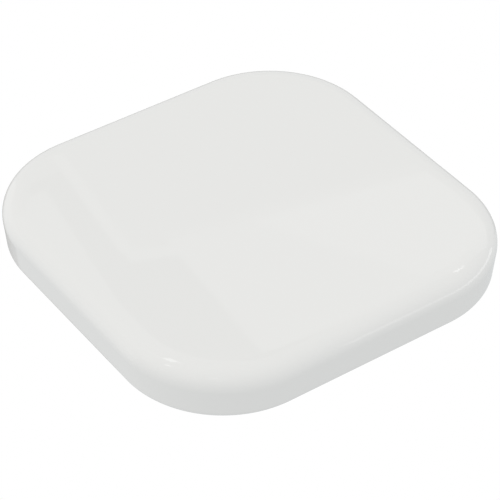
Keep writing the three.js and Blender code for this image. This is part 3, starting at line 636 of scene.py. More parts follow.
class PAD_OT_housing(bpy.types.Operator):
    """Adds the glossy top housing with its rear openings, bosses and ferrite ring"""

    bl_idname = "pad.housing"
    bl_label = "Top housing"

    def execute(self, context):
        sizes = millimetres(context.scene.pad_sizes)
        roof = corners("top_housing")[1].z - sizes.roof_wall
        bm = carve(housing_shell(sizes), housing_bosses(sizes), "UNION")
        low, high = corners("socket_shell")
        gap = 2 * SOCKET_GAP
        pipe = 2 * (PIPE_RADIUS + PIPE_GAP)
        tools = [
            rear_tool(sizes, "socket_shell", SOCKET_WIDTH + gap, high.z - low.z + gap, SOCKET_LEAD_IN),
            rear_tool(sizes, "light_pipe", pipe + 2 * FLAT, pipe, PIPE_LEAD_IN),
        ]
        pilot = rod(SCREW_BORE, corners("main_board")[1].z - OVERSHOOT, roof - BOSS_ROOF)
        tools += [spun(pilot, 24, x, y) for x, y in screw_places()]
        lead = corners("coil_solder_1")[0].x
        ferrite = corners("ferrite_disc")
        gate_end = ferrite[1].y + NEST_GAP + NEST_WALL + GATE_BEYOND
        tools.append(boxed((lead, 0, ferrite[0].z - OVERSHOOT), (2 * sizes.wire, gate_end, roof)))
        bm = carve(bm, tools)
        finish = plain_material("polished_abs")
        add_piece("top_housing_finished", bm, [finish])
        return {"FINISHED"}


class PAD_OT_cover(bpy.types.Operator):
    """Adds the textured bottom cover with its groove, screw holes and pillars"""

    bl_idname = "pad.cover"
    bl_label = "Bottom cover"

    def execute(self, context):
        sizes = millimetres(context.scene.pad_sizes)
        low, high = corners("bottom_cover")
        foot_low, foot_high = corners("foot_ring")
        board_low = corners("main_board")[0].z
        floor = low.z + COVER_WALL
        rim = floor + RIM_HEIGHT
        to_groove = high.x - foot_high.x - FOOT_GAP - COVER_EDGE
        groove = foot_high.z - low.z
        bm = bmesh.new()
        face = plan_face(bm, sizes, high.x, rim)
        below = twin(bm, face)
        carry(bm, face, [(RIM_WALL, 0), (0, -RIM_HEIGHT)])
        carry(bm, below, [
            (0, low.z - rim + COVER_EDGE),
            *rounding(COVER_EDGE, -COVER_EDGE, 3),
            (to_groove, 0),
            (0, groove),
            (FOOT_WIDTH + 2 * FOOT_GAP, 0),
            (0, -groove),
        ])
        start = floor - SUNK
        pillar = rod(BOSS_RADIUS, start, board_low)
        pin = [
            (0, start), (PIN_RADIUS, start), (PIN_RADIUS, high.z - PIN_TIP),
            (PIN_RADIUS - PIN_TIP, high.z), (0, high.z),
        ]
        joined = [spun(pillar, 32, x, y) for x, y in screw_places()]
        joined += [spun(pin, 24, side * PIN_PLACE, 0) for side in (-1, 1)]
        joined.append(spun(ring(REST_RADIUS - REST_WALL, REST_RADIUS, start, board_low), 64))
        bm = carve(bm, joined, "UNION")
        seat = low.z + HEAD_SEAT
        below, above = low.z - OVERSHOOT, board_low + OVERSHOOT
        hole = [
            (0, below), (HEAD_BORE + BREAK + OVERSHOOT, below), (HEAD_BORE, low.z + BREAK),
            (HEAD_BORE, seat), (SCREW_BORE, seat), (SCREW_BORE, above), (0, above),
        ]
        bm = carve(bm, [spun(hole, 40, x, y) for x, y in screw_places()])
        finish = plain_material("spark_textured_abs")
        add_piece("bottom_cover_finished", bm, [finish])
        return {"FINISHED"}


class PAD_OT_foot(bpy.types.Operator):
    """Adds the silicone foot ring that the pad stands on"""

    bl_idname = "pad.foot"
    bl_label = "Foot ring"

    def execute(self, context):
        sizes = millimetres(context.scene.pad_sizes)
        low, high = corners("foot_ring")
        upright = high.z - low.z - FOOT_EDGE
        outer_edge = rounding(FOOT_EDGE, -FOOT_EDGE, 5)
        inner_edge = turned_over(rounding(FOOT_EDGE, FOOT_EDGE, 5))
        bm = bmesh.new()
        face = plan_face(bm, sizes, high.x, high.z)
        end = carry(bm, face, [
            (0, -upright), *outer_edge, (FOOT_WIDTH - 2 * FOOT_EDGE, 0), *inner_edge, (0, upright),
        ])
        bmesh.ops.delete(bm, geom=[end], context="FACES_ONLY")
        bmesh.ops.bridge_loops(bm, edges=[e for e in bm.edges if e.is_boundary])
        finish = plain_material("silicone_rubber")
        add_piece("foot_ring_finished", bm, [finish])
        return {"FINISHED"}


# ------------------------------------------------------------------ Screws and status light

THREAD_PITCH = 0.8
THREAD_DEPTH = 0.18
THREAD_LEAD = 0.4  # plain length under the head
THREAD_SPARE = 1.6  # plain length altogether
SHANK = 1.0
TIP = (0.4, 1.0)  # radius of the screw's end, and length of the cone to it
# The head's rounding, as shares of its radius and heights above its face
HEAD = ((0.68, 0), (0.86, 0.12), (0.97, 0.38), (1, 0.6))
CROSS = (1.05, 0.26, 0.65)  # driver recess: reach of an arm, half its width, and its depth
# The light pipe's rounded front, as how far in from its radius and how far back from its face
PIPE_FRONT = ((0.15, 0.02), (0, 0.12))
STUB = 0.5  # length of the pipe's inner end
STUB_RADIUS = 0.5
FLANGE = 0.5
# The status light: its body's share of the depth, and its lens's rim at the sides and above
LED = SimpleNamespace(body=0.6, edge=0.05, rim=(0.28, 0.18), lens_edge=0.12)


class PAD_OT_screws(bpy.types.Operator):
    """Adds the four cross-headed screws that hold the cover on"""

    bl_idname = "pad.screws"
    bl_label = "Cover screws"

    def execute(self, context):
        finish = plain_material("zinc_plated_steel")
        for number, (x, y) in enumerate(screw_places(), start=1):
            low, high = corners(f"cover_screw_{number}")
            seat = corners("bottom_cover")[0].z + HEAD_SEAT
            radius = (high.x - low.x) / 2
            profile = [(0, low.z), *((radius * share, low.z + rise) for share, rise in HEAD)]
            profile += [(radius, seat), (SHANK, seat)]
            for turn in range(int((high.z - seat - THREAD_SPARE) / THREAD_PITCH)):
                start = seat + THREAD_LEAD + turn * THREAD_PITCH
                root = (SHANK - THREAD_DEPTH, start + THREAD_PITCH / 2)
                profile += [(SHANK, start), root, (SHANK, start + THREAD_PITCH)]
            profile += [(SHANK, high.z - TIP[1]), (TIP[0], high.z), (0, high.z)]
            reach, half, depth = CROSS
            arms = [
                boxed((x - across, y - along, low.z - OVERSHOOT), (x + across, y + along, low.z + depth))
                for across, along in ((reach, half), (half, reach))
            ]
            bm = carve(spun(profile, 32, x, y), arms)
            add_piece(f"cover_screw_{number}_finished", bm, [finish])
        return {"FINISHED"}


class PAD_OT_light(bpy.types.Operator):
    """Adds the clear light pipe in the rear wall and the status light behind it"""

    bl_idname = "pad.light"
    bl_label = "Light pipe and status light"

    def execute(self, context):
        low, high = corners("light_pipe")
        length_of_pipe = high.y - low.y
        flange = (high.x - low.x) / 2
        inside = length_of_pipe - STUB - FLANGE
        bm = spun([
            (0, 0), *((PIPE_RADIUS - inward, back) for inward, back in PIPE_FRONT),
            (PIPE_RADIUS, inside), (flange, inside), (flange, inside + FLANGE),
            (STUB_RADIUS, inside + FLANGE), (STUB_RADIUS, length_of_pipe), (0, length_of_pipe),
        ], 40)
        lay_back(bm, (low.x + high.x) / 2, high.y, (low.z + high.z) / 2)
        add_piece("light_pipe_finished", bm, [plain_material("clear_acrylic")])

        low, high = corners("status_led")
        face = low.y + (high.y - low.y) * LED.body
        bm = bmesh.new()
        block(bm, low, (high.x, face, high.z), bevel=LED.edge)
        side, above = LED.rim
        start = (low.x + side, face - SUNK, low.z + above)
        block(bm, start, high - Vector((side, 0, above)), bevel=LED.lens_edge, segments=4, index=1)
        finishes = [plain_material("white_polyamide"), plain_material("phosphor_gel")]
        add_piece("status_led_finished", bm, finishes)
        return {"FINISHED"}


# ------------------------------------------------------------------ Supply socket

SHEET = 0.3
SHEET_EDGE = 0.1
SOCKET_DEPTH = 7.35
BLOCK_DEPTH = 1.5
TONGUE = (6.69, 0.7, 0.8)  # width, thickness, and how far its tip lies below the mouth
# The shell's four board straps: proud of its side, and their feet reach out over the board
STRAP = SimpleNamespace(width=1.0, reach=0.8, rise=0.2, margin=0.3, proud=0.03, bend=0.12)
TONGUE_ROOT = 0.5  # how far the tongue starts inside the block
TONGUE_EDGE = 0.12
CONTACT = (0.3, 0.1)  # width and sheet thickness
TAIL = 0.7  # a contact's tail on the board


def socket_mouth():
    """The middle of the socket's mouth."""
    low, high = corners("socket_shell")
    return (low.x + high.x) / 2, high.y, (low.z + high.z) / 2


class PAD_OT_socket_shell(bpy.types.Operator):
    """Adds the socket's drawn steel shell with its four board straps"""

    bl_idname = "pad.socket_shell"
    bl_label = "Socket shell"

    def execute(self, context):
        low, high = corners("socket_shell")
        height = high.z - low.z
        bm = bmesh.new()
        face = rounded_face(bm, SOCKET_WIDTH, height, height / 2 - FLAT, 12)
        bmesh.ops.translate(bm, verts=face.verts, vec=(0, 0, SHEET_EDGE))
        outside = twin(bm, face)
        edge = rounding(SHEET_EDGE, -SHEET_EDGE, 4)
        inner_edge = turned_over(rounding(SHEET_EDGE, SHEET_EDGE, 4))
        inside = carry(bm, face, [
            *edge, (SHEET - 2 * SHEET_EDGE, 0), *inner_edge, (0, SOCKET_DEPTH - SHEET_EDGE),
        ])
        outside = carry(bm, outside, [(0, SOCKET_DEPTH - SHEET_EDGE)])
        bmesh.ops.delete(bm, geom=[inside, outside], context="FACES_ONLY")
        bmesh.ops.remove_doubles(bm, verts=bm.verts, dist=1e-4)
        bmesh.ops.bridge_loops(bm, edges=[e for e in bm.edges if e.is_boundary])
        lay_back(bm, *socket_mouth())
        half = SOCKET_WIDTH / 2
        middle_z = (low.z + high.z) / 2
        foot = low.z + SHEET
        outside = half + STRAP.proud
        run = [
            (outside, middle_z + STRAP.rise), (outside, foot + STRAP.bend), (outside + STRAP.bend, foot),
            (half + STRAP.reach, foot),
        ]
        rear = high.y - SOCKET_DEPTH
        for near in (rear + STRAP.margin, rear + BLOCK_DEPTH + STRAP.width):
            y = near + STRAP.width / 2
            for side in (-1, 1):
                strip(bm, [(side * x, y, z) for x, z in run], (0, -side * STRAP.width, 0), SHEET)
        add_piece("socket_shell_finished", bm, [plain_material("nickel_plated_steel")])
        return {"FINISHED"}


class PAD_OT_socket_insulator(bpy.types.Operator):
    """Adds the socket's black moulding: a block across the back, and the tongue"""

    bl_idname = "pad.socket_insulator"
    bl_label = "Socket insulator"

    def execute(self, context):
        low, high = corners("socket_insulator")
        x, mouth, middle = socket_mouth()
        height = high.z - low.z
        front = mouth - SOCKET_DEPTH + BLOCK_DEPTH
        bm = bmesh.new()
        face = rounded_face(bm, high.x - low.x, height, height / 2 - FLAT, 10)
        twin(bm, face)
        carry(bm, face, [(0, BLOCK_DEPTH)])
        lay_back(bm, x, front, middle)
        width, thickness, recess = TONGUE
        block(
            bm, (x - width / 2, front - TONGUE_ROOT, middle - thickness / 2),
            (x + width / 2, mouth - recess, middle + thickness / 2), bevel=TONGUE_EDGE, segments=3,
        )
        finish = plain_material("liquid_crystal_polymer")
        add_piece("socket_insulator_finished", bm, [finish])
        return {"FINISHED"}


class PAD_OT_socket_contacts(bpy.types.Operator):
    """Adds the six gold-plated contacts, each bent from one strip"""

    bl_idname = "pad.socket_contacts"
    bl_label = "Socket contacts"

    def execute(self, context):
        finish = plain_material("gold_plated_bronze")
        width, sheet = CONTACT
        for number in range(1, 7):
            low, high = corners(f"socket_contact_{number}")
            x = (low.x + high.x) / 2
            knee = low.y + TAIL
            bm = bmesh.new()
            block(bm, (x - width / 2, knee - sheet, high.z - sheet), (x + width / 2, knee, high.z))
            middle = (x, knee - sheet / 2, high.z - sheet / 2)
            grow(bm, Vector((0, 1, 0)), middle, (0, high.y - knee, 0))
            grow(bm, DOWN, (x, knee - sheet / 2, high.z - sheet), (0, 0, low.z + 2 * sheet - high.z))
            grow(bm, DOWN, (x, knee - sheet / 2, low.z + sheet), (0, 0, -sheet))
            grow(bm, Vector((0, -1, 0)), (x, knee - sheet, low.z + sheet / 2), (0, sheet - TAIL, 0))
            add_piece(f"socket_contact_{number}_finished", bm, [finish])
        return {"FINISHED"}


# ------------------------------------------------------------------ Main board and what is soldered to it

LAND = 0.03  # height of a soldered land above the board
LAND_MARGIN = 0.25
TRACK = 0.02
LANE = 1.0  # spacing of the tracks
BOARD_EDGE = 0.05
PIN_CLEARANCE = 0.1
SCREW_LAND = 0.4  # how far a screw's land ends inside its boss
# Widths of the tracks
POWER, BRIDGE, SUPPLY, SENSE = 1.6, 1.0, 0.6, 0.4
CAPPED = (
    "resonance_capacitor", "input_capacitor", "bypass_capacitor", "divider_resistor", "sense_resistor",
)
CAP_SHARE = 0.19  # of a chip part's length
CAP_PROUD = 0.04  # of a chip part's body
CAP_EDGE = 0.07
BODY_EDGE = 0.04


def tracks():
    """Copper under the mask as (width, points): supply, bridge, coil and sense lines."""
    outer, inner = middle_of("coil_solder_1"), middle_of("coil_solder_2")
    chips = ("controller_chip", "driver_chip_1", "driver_chip_2", "regulator_chip")
    control, first, second, supply = (sum(corners(name), Vector()) / 2 for name in chips)
    bank = corners("resonance_capacitor_4")[0]
    bottom = corners("sense_resistor")[0].y - 2 * LANE
    return [
        (POWER, [
            inner, (inner[0] + 3 * LANE, inner[1] - 3 * LANE), (bank.x, bank.y - 2.2 * LANE),
            (bank.x, bank.y),
        ]),
        (POWER, [outer, (outer[0], bottom), (first.x, bottom), (first.x, first.y)]),
        (BRIDGE, [
            (second.x, second.y), (second.x, bottom - 2 * LANE), (outer[0] - 3 * LANE, bottom - 2 * LANE),
        ]),
        (SENSE, [
            (control.x, control.y), (control.x, bottom - 4 * LANE),
            (first.x + 3 * LANE, bottom - 4 * LANE), (first.x + 3 * LANE, first.y),
        ]),
        (SENSE, [
            (control.x + LANE, control.y), (control.x + LANE, bottom - 5 * LANE),
            (second.x + 3 * LANE, bottom - 5 * LANE), (second.x + 3 * LANE, second.y),
        ]),
        (SUPPLY, [(supply.x, supply.y), (control.x, supply.y)]),
    ]


def lay_track(bm, width, points, level):
    """A run of thin copper, mitred at its bends: half its width on each side of its middle line."""
    before = set(bm.verts)
    path = [(x, y, level + TRACK / 2) for x, y in points]
    middle = []
    for way in (path, path[::-1]):
        middle += strip(bm, way, (0, 0, TRACK), width / 2)
    bmesh.ops.delete(bm, geom=middle, context="FACES")
    bmesh.ops.remove_doubles(bm, verts=[v for v in bm.verts if v not in before], dist=1e-4)
    verts = [v for v in bm.verts if v not in before]
    edges = list(dict.fromkeys(e for v in verts for e in v.link_edges))
    bmesh.ops.dissolve_limit(bm, angle_limit=0.01, verts=verts, edges=edges)


def land(bm, low, high, level):
    """A tinned land under a soldered end."""
    margin = Vector((LAND_MARGIN, LAND_MARGIN, 0))
    start, end = Vector(low) - margin, Vector(high) + margin
    start.z, end.z = level - LAND, level + LAND
    block(bm, start, end, index=1)


class PAD_OT_board(bpy.types.Operator):
    """Adds the main board with its holes, copper tracks and tinned lands"""

    bl_idname = "pad.board"
    bl_label = "Main board"

    def execute(self, context):
        sizes = millimetres(context.scene.pad_sizes)
        low, high = corners("main_board")
        bm = bmesh.new()
        face = plan_face(bm, sizes, high.x, high.z - BOARD_EDGE)
        below = twin(bm, face)
        carry(bm, face, [(BOARD_EDGE, BOARD_EDGE)])
        carry(bm, below, [(0, low.z - high.z + 2 * BOARD_EDGE), (BOARD_EDGE, -BOARD_EDGE)])
        places = [(x, y, SCREW_BORE) for x, y in screw_places()]
        places += [(side * PIN_PLACE, 0, PIN_RADIUS + PIN_CLEARANCE) for side in (-1, 1)]
        start, end = low.z - OVERSHOOT, high.z + OVERSHOOT
        bm = carve(bm, [spun(rod(radius, start, end), 32, x, y) for x, y, radius in places])
        for width, points in tracks():
            lay_track(bm, width, points, high.z - TRACK / 2)
        screw_land = ring(SCREW_BORE, BOSS_RADIUS - SCREW_LAND, high.z - LAND, high.z + LAND)
        for x, y in screw_places():
            turned(bm, screw_land, 40, x, y, index=1)
        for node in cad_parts:
            if node.startswith(CAPPED):
                first, last = corners(node)
                cap = (last.x - first.x) * CAP_SHARE
                land(bm, first, (first.x + cap, last.y, 0), high.z)
                land(bm, (last.x - cap, first.y, 0), last, high.z)
        finishes = [solder_mask(context.scene.pad_colours), plain_material("tin_plating")]
        add_piece("main_board_finished", bm, finishes)
        return {"FINISHED"}


class PAD_OT_chip_parts(bpy.types.Operator):
    """Adds the chip capacitors and resistors: a body between two tinned ends"""

    bl_idname = "pad.chip_parts"
    bl_label = "Chip capacitors and resistors"

    def execute(self, context):
        ceramic = plain_material("barium_titanate")
        glaze = plain_material("resistor_glaze")
        tin = plain_material("tin_plating")
        for node in sorted(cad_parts):
            if not node.startswith(CAPPED):
                continue
            low, high = corners(node)
            cap = (high.x - low.x) * CAP_SHARE
            inset = Vector((cap / 2, CAP_PROUD, CAP_PROUD))
            bm = bmesh.new()
            block(bm, low + inset, high - inset, bevel=BODY_EDGE)
            block(bm, low, (low.x + cap, high.y, high.z), bevel=CAP_EDGE, segments=3, index=1)
            block(bm, (high.x - cap, low.y, low.z), high, bevel=CAP_EDGE, segments=3, index=1)
            is_resistor = "resistor" in node
            body = glaze if is_resistor else ceramic
            add_piece(f"{node}_finished", bm, [body, tin])
        return {"FINISHED"}


# name, body width, depth and height, and leads on each long side; a chip with none is leadless
CHIPS = (
    ("controller_chip", 5.0, 5.0, 0.9, 0),
    ("regulator_chip", 2.9, 1.6, 1.1, 3),
    ("driver_chip_1", 4.9, 3.9, 1.5, 4),
    ("driver_chip_2", 4.9, 3.9, 1.5, 4),
)
CHIP_LIFT = (0.15, 0.03)  # a chip's body above the board, on leads and without
CHIP_EDGE = 0.08
LEAD_LEVEL = 0.45  # of a chip's height
# The dimple at pin one: its place and radius as shares of the narrower side, its depth and its flare
DIMPLE = SimpleNamespace(place=0.18, radius=0.06, depth=0.05, flare=0.1)
LEAD = SimpleNamespace(width=0.4, sheet=0.2, root=0.2, knee=0.4, reach=1.0, bend=0.1)


def gull_lead(bm, x, side, y, board, level):
    """One bent lead: out of the body, down to the board, and out along it."""
    top, foot = level + LEAD.sheet, board + LEAD.sheet
    knee = LEAD.knee
    bend = LEAD.bend
    run = [
        (-LEAD.root, top), (knee - bend, top), (knee, top - bend),
        (knee, foot + bend), (knee + bend, foot), (LEAD.reach, foot),
    ]
    strip(bm, [(x, y + side * out, z) for out, z in run], (side * LEAD.width, 0, 0), LEAD.sheet, index=1)


class PAD_OT_chips(bpy.types.Operator):
    """Adds the moulded chips, with a dimple at pin one and tinned leads"""

    bl_idname = "pad.chips"
    bl_label = "Chips"

    def execute(self, context):
        finishes = [plain_material("epoxy_compound"), plain_material("tin_plating")]
        for name, width, depth, height, leads in CHIPS:
            base = corners(name)[0].z
            x, y = middle_of(name)
            left, front, right, rear = x - width / 2, y - depth / 2, x + width / 2, y + depth / 2
            top = base + height
            bm = bmesh.new()
            lift = CHIP_LIFT[0] if leads else CHIP_LIFT[1]
            block(bm, (left, front, base + lift), (right, rear, top), bevel=CHIP_EDGE)
            narrow = min(width, depth)
            inset, radius = narrow * DIMPLE.place, narrow * DIMPLE.radius
            dimple = [
                (0, top - DIMPLE.depth), (radius, top - DIMPLE.depth),
                (radius + DIMPLE.flare, top + DIMPLE.flare), (0, top + DIMPLE.flare),
            ]
            bm = carve(bm, [spun(dimple, 20, left + inset, rear - inset)])
            for i in range(leads):
                lead_x = x + (i - (leads - 1) / 2) * width / leads
                for side in (-1, 1):
                    gull_lead(bm, lead_x, side, y + side * depth / 2, base, base + height * LEAD_LEVEL)
            add_piece(f"{name}_finished", bm, finishes)
        return {"FINISHED"}


# ------------------------------------------------------------------ Coil stack

COIL_RADIUS = 22.0
COIL_TURNS = 9
COIL_ENTRY = math.radians(145)  # where the outer end joins the winding
TURN_GAP = 0.08
TURN_STEPS = 48
HOOK_STEPS = 12
DIP_STEPS = 8
SLOT_GAP = 0.35
DIP_GAP = 0.09  # ferrite to the wire in its slot
SLOT_DIP = 6.6  # how far along its slot the wire takes to drop into it
LEAD_BEND = 1.6
SOLDER_HEIGHT = 0.9
TAPE_MARGIN = 0.4
FERRITE_EDGE = 0.15
THERMISTOR_HOLE = 1.2
THERMISTOR_LEG = 0.2  # radius
THERMISTOR_PITCH = 0.9
SOLDER_BORE_GAP = 0.1  # solder to the wire
SOLDER_TOP = 0.05  # width of a fillet's top


def coil_route(wire):
    """The wire's centre line: outer pad, lead, winding from the outside in, hook, slot, inner pad."""
    (outer_x, row), (inner_x, _) = middle_of("coil_solder_1"), middle_of("coil_solder_2")
    board = corners("main_board")[1].z
    level = corners("roof_tape")[0].z - wire / 2
    slot = corners("ferrite_disc")[1].z - DIP_GAP - wire / 2
    nest = corners("ferrite_disc")[1].x + NEST_GAP
    first = COIL_RADIUS - wire / 2
    sweep = COIL_TURNS * math.tau + math.pi - COIL_ENTRY
    last = first - (wire + TURN_GAP) * sweep / math.tau
    entry = Vector((first * math.cos(COIL_ENTRY), first * math.sin(COIL_ENTRY), level))
    joint = Vector((outer_x, row, level))
    climb = (board, board + SOLDER_HEIGHT, level - 2 * LEAD_BEND, level - LEAD_BEND)
    route = [(outer_x, row, z) for z in climb]
    way = (joint - entry).normalized()
    reach = (joint - entry).length
    corner = LEAD_BEND * (1 - math.sqrt(0.5))
    route.append(joint - way * corner - UP * corner)
    route += [entry + way * distance for distance in (reach - LEAD_BEND, reach * 2 / 3, reach / 3)]
    steps = round(sweep / math.tau * TURN_STEPS)
    for step in range(steps + 1):
        angle = COIL_ENTRY + sweep * step / steps
        radius = first - (first - last) * step / steps
        route.append((radius * math.cos(angle), radius * math.sin(angle), level))
    hook = last / 2
    for step in range(1, HOOK_STEPS + 1):
        angle = math.pi * (1 + step / HOOK_STEPS)
        route.append((inner_x - hook + hook * math.cos(angle), hook * math.sin(angle), level))
    for step in range(1, DIP_STEPS + 1):
        share = step / DIP_STEPS
        drop = share * share * (3 - 2 * share)
        route.append((inner_x, SLOT_DIP * share, level + (slot - level) * drop))
    straight = nest - SLOT_DIP
    route += [(inner_x, y, slot) for y in (SLOT_DIP + straight / 3, SLOT_DIP + straight * 2 / 3, nest)]
    route += [(inner_x, row - LEAD_BEND, slot), (inner_x, row - corner, slot - corner)]
    route += [(inner_x, row, z) for z in (slot - LEAD_BEND, board + SOLDER_HEIGHT, board)]
    return [Vector(point) for point in route]


class PAD_OT_coil(bpy.types.Operator):
    """Winds the transmitter coil from one length of served litz wire"""

    bl_idname = "pad.coil"
    bl_label = "Transmitter coil"

    def execute(self, context):
        wire = context.scene.pad_sizes.wire / MM
        route = coil_route(wire)
        curve = bpy.data.curves.new("winding", "CURVE")
        curve.dimensions = "3D"
        curve.bevel_depth = wire / 2 * MM
        curve.bevel_resolution = 3
        curve.use_fill_caps = True
        curve.resolution_u = 2
        spline = curve.splines.new("NURBS")
        spline.points.add(len(route) - 1)
        for point, place in zip(spline.points, route):
            point.co = (*(place * MM), 1)
        spline.order_u = 3
        spline.use_endpoint_u = True
        winding = add_object("winding", curve)
        settled = winding.evaluated_get(context.evaluated_depsgraph_get())
        mesh = bpy.data.meshes.new_from_object(settled)
        bpy.data.objects.remove(winding)
        bm = bmesh.new()
        bm.from_mesh(mesh)
        bpy.data.meshes.remove(mesh)
        bmesh.ops.scale(bm, vec=(1 / MM, 1 / MM, 1 / MM), verts=bm.verts)
        run = sum((b - a).length for a, b in zip(route, route[1:]))
        finish = served_litz(context.scene.pad_colours, run)
        add_piece("transmitter_coil_finished", bm, [finish])
        return {"FINISHED"}


class PAD_OT_tapes(bpy.types.Operator):
    """Adds the two rings of adhesive tape, above and below the coil"""

    bl_idname = "pad.tapes"
    bl_label = "Tape rings"

    def execute(self, context):
        wire = context.scene.pad_sizes.wire / MM
        finish = plain_material("tissue_tape")
        sweep = COIL_TURNS * math.tau + math.pi - COIL_ENTRY
        inner = COIL_RADIUS - wire / 2 - (wire + TURN_GAP) * sweep / math.tau
        outer = COIL_RADIUS - TAPE_MARGIN
        for name in ("roof_tape", "ferrite_tape"):
            low, high = corners(name)
            bm = spun(ring(inner, outer, low.z, high.z), 96)
            add_piece(f"{name}_finished", bm, [finish])
        return {"FINISHED"}


class PAD_OT_ferrite(bpy.types.Operator):
    """Adds the ferrite disc with its slot for the inner lead and its hole for the thermistor"""

    bl_idname = "pad.ferrite"
    bl_label = "Ferrite disc"

    def execute(self, context):
        wire = context.scene.pad_sizes.wire / MM
        low, high = corners("ferrite_disc")
        radius = high.x
        edge = FERRITE_EDGE
        bm = spun([
            (0, low.z), (radius - edge, low.z), (radius, low.z + edge), (radius, high.z - edge),
            (radius - edge, high.z), (0, high.z),
        ], 96)
        half = wire / 2 + SLOT_GAP
        start, end = low.z - OVERSHOOT, high.z + OVERSHOOT
        slot = boxed((-half, -wire, start), (half, radius + OVERSHOOT, end))
        hole = spun(rod(THERMISTOR_HOLE, start, end), 32, *middle_of("coil_thermistor"))
        finish = plain_material("sintered_ferrite")
        add_piece("ferrite_disc_finished", carve(bm, [slot, hole]), [finish])
        return {"FINISHED"}


class PAD_OT_thermistor(bpy.types.Operator):
    """Adds the bead that senses the coil's heat, on its two legs"""

    bl_idname = "pad.thermistor"
    bl_label = "Coil thermistor"

    def execute(self, context):
        low, high = corners("coil_thermistor")
        x, y = middle_of("coil_thermistor")
        radius = (high.x - low.x) / 2
        centre = high.z - radius
        arc = [math.pi * (step / 16 - 0.5) for step in range(17)]
        bm = spun([(radius * math.cos(a), centre + radius * math.sin(a)) for a in arc], 24, x, y)
        for side in (-1, 1):
            leg = x + side * THERMISTOR_PITCH / 2
            turned(bm, rod(THERMISTOR_LEG, low.z, centre), 12, leg, y, index=1)
        finishes = [plain_material("bead_epoxy"), plain_material("tin_plating")]
        add_piece("coil_thermistor_finished", bm, finishes)
        return {"FINISHED"}


class PAD_OT_solder(bpy.types.Operator):
    """Adds the solder fillets that hold the coil's two ends on the board"""

    bl_idname = "pad.solder"
    bl_label = "Coil solder"

    def execute(self, context):
        inner = context.scene.pad_sizes.wire / MM / 2 + SOLDER_BORE_GAP
        finish = plain_material("tin_plating")
        for number in (1, 2):
            low, high = corners(f"coil_solder_{number}")
            outer = (high.x - low.x) / 2
            inward, rise = outer - inner - SOLDER_TOP, high.z - low.z
            fillet = [
                (outer - inward * math.sin(a), low.z + rise * (1 - math.cos(a)))
                for a in (math.pi / 2 * step / 10 for step in range(11))
            ]
            profile = [(inner, low.z), *fillet, (inner, high.z), (inner, low.z)]
            bm = spun(profile, 32, *middle_of(f"coil_solder_{number}"))
            add_piece(f"coil_solder_{number}_finished", bm, [finish])
        return {"FINISHED"}


# ------------------------------------------------------------------ Stage

CAMERA = SimpleNamespace(azimuth=-35.04, elevation=40.1, distance=510.8, lens=169.8, sensor=36.0)
AIM = SimpleNamespace(across=0.44, up=-0.11, height=0.5)  # the camera's offset from the pad's middle


def direction(azimuth, elevation):
    """From the pad towards a place round it: azimuth 0 is the front, and 90 the right."""
    a, e = math.radians(azimuth), math.radians(elevation)
    return Vector((math.sin(a) * math.cos(e), -math.cos(a) * math.cos(e), math.sin(e)))


def glowing(name, brightness, front_only=False):
    """Even light off a pale surface, the same from any side; or with nothing to see from behind."""
    material, shader = new_material(name, {"Base Color": (0, 0, 0), "Specular IOR Level": 0.0})
    shader.inputs["Emission Color"].default_value = (1, 1, 1, 1)
    shader.inputs["Emission Strength"].default_value = brightness
    if front_only:
        tree = material.node_tree
        behind = add_node(tree, "ShaderNodeNewGeometry").outputs["Backfacing"]
        shown = add_node(tree, "ShaderNodeMath", {"operation": "SUBTRACT", 0: 1.0}, {1: behind})
        tree.links.new(shown.outputs["Value"], shader.inputs["Alpha"])
    return material


def stage_object(name, bm, material):
    """A piece of the stage from a bmesh in millimetres."""
    bmesh.ops.scale(bm, vec=(MM, MM, MM), verts=bm.verts)
    mesh = bpy.data.meshes.new(name)
    bm.to_mesh(mesh)
    bm.free()
    mesh.materials.append(material)
    made = add_object(name, mesh)
    return made


SKY_AXIS = (-120, 70)  # the brightest part of the room: azimuth and elevation in degrees
# The room's light from the side away from that to its middle: cooler where it is dim
SKY = (
    (0.0, (0.615, 0.63, 0.635)),
    (0.25, (0.745, 0.76, 0.767)),
    (0.5, (0.757, 0.768, 0.778)),
    (0.75, (0.85, 0.85, 0.853)),
    (1.0, (1.11, 1.11, 1.1)),
)

# Cards hung overhead, and a dim one low behind the pad, that only a gloss shows. Each is its level, a
# corner, an edge going right and an edge going away, in millimetres, and its brightness.
CARDS = (
    (1020, (450, 500), (400, 0), (112, 658), 0.73),
    (1000, (572, 1008), (1080, -220), (88, 608), 0.9),
    (998, (572, 1008), (11, -2), (88, 608), 1.06),
    (998, (572, 992), (43, -17), (2, 16), 1.06),
    (1000, (615, 1009), (1115, -210), (-65, -710), 1.06),
    (998, (688, 977), (1115, -210), (385, -705), 1.2),
    (1000, (565, 1121), (-800, 0), (-78, -458), 1.03),
    (-300, (-120, 230), (2020, 0), (0, 1700), 0.5),
)

# Soft lamps: azimuth, elevation, width and height in degrees as the pad sees them, and brightness
LAMPS = (
    (57, 5.5, 62, 11, 1.1),
    (-150, 0, 70, 50, 0.22),
    (-170, 67, 10, 4, 1.8),
    (108, 52, 8, 4, 2.0),
    (-46, 57, 5, 3, 3.0),
    (-114, 62, 4, 3, 2.5),
    (-39, 41, 3, 3, 3.0),
)
LAMP_DISTANCE = 1.5  # metres
ROOM_RADIUS = 4000  # of the floor and the backdrop


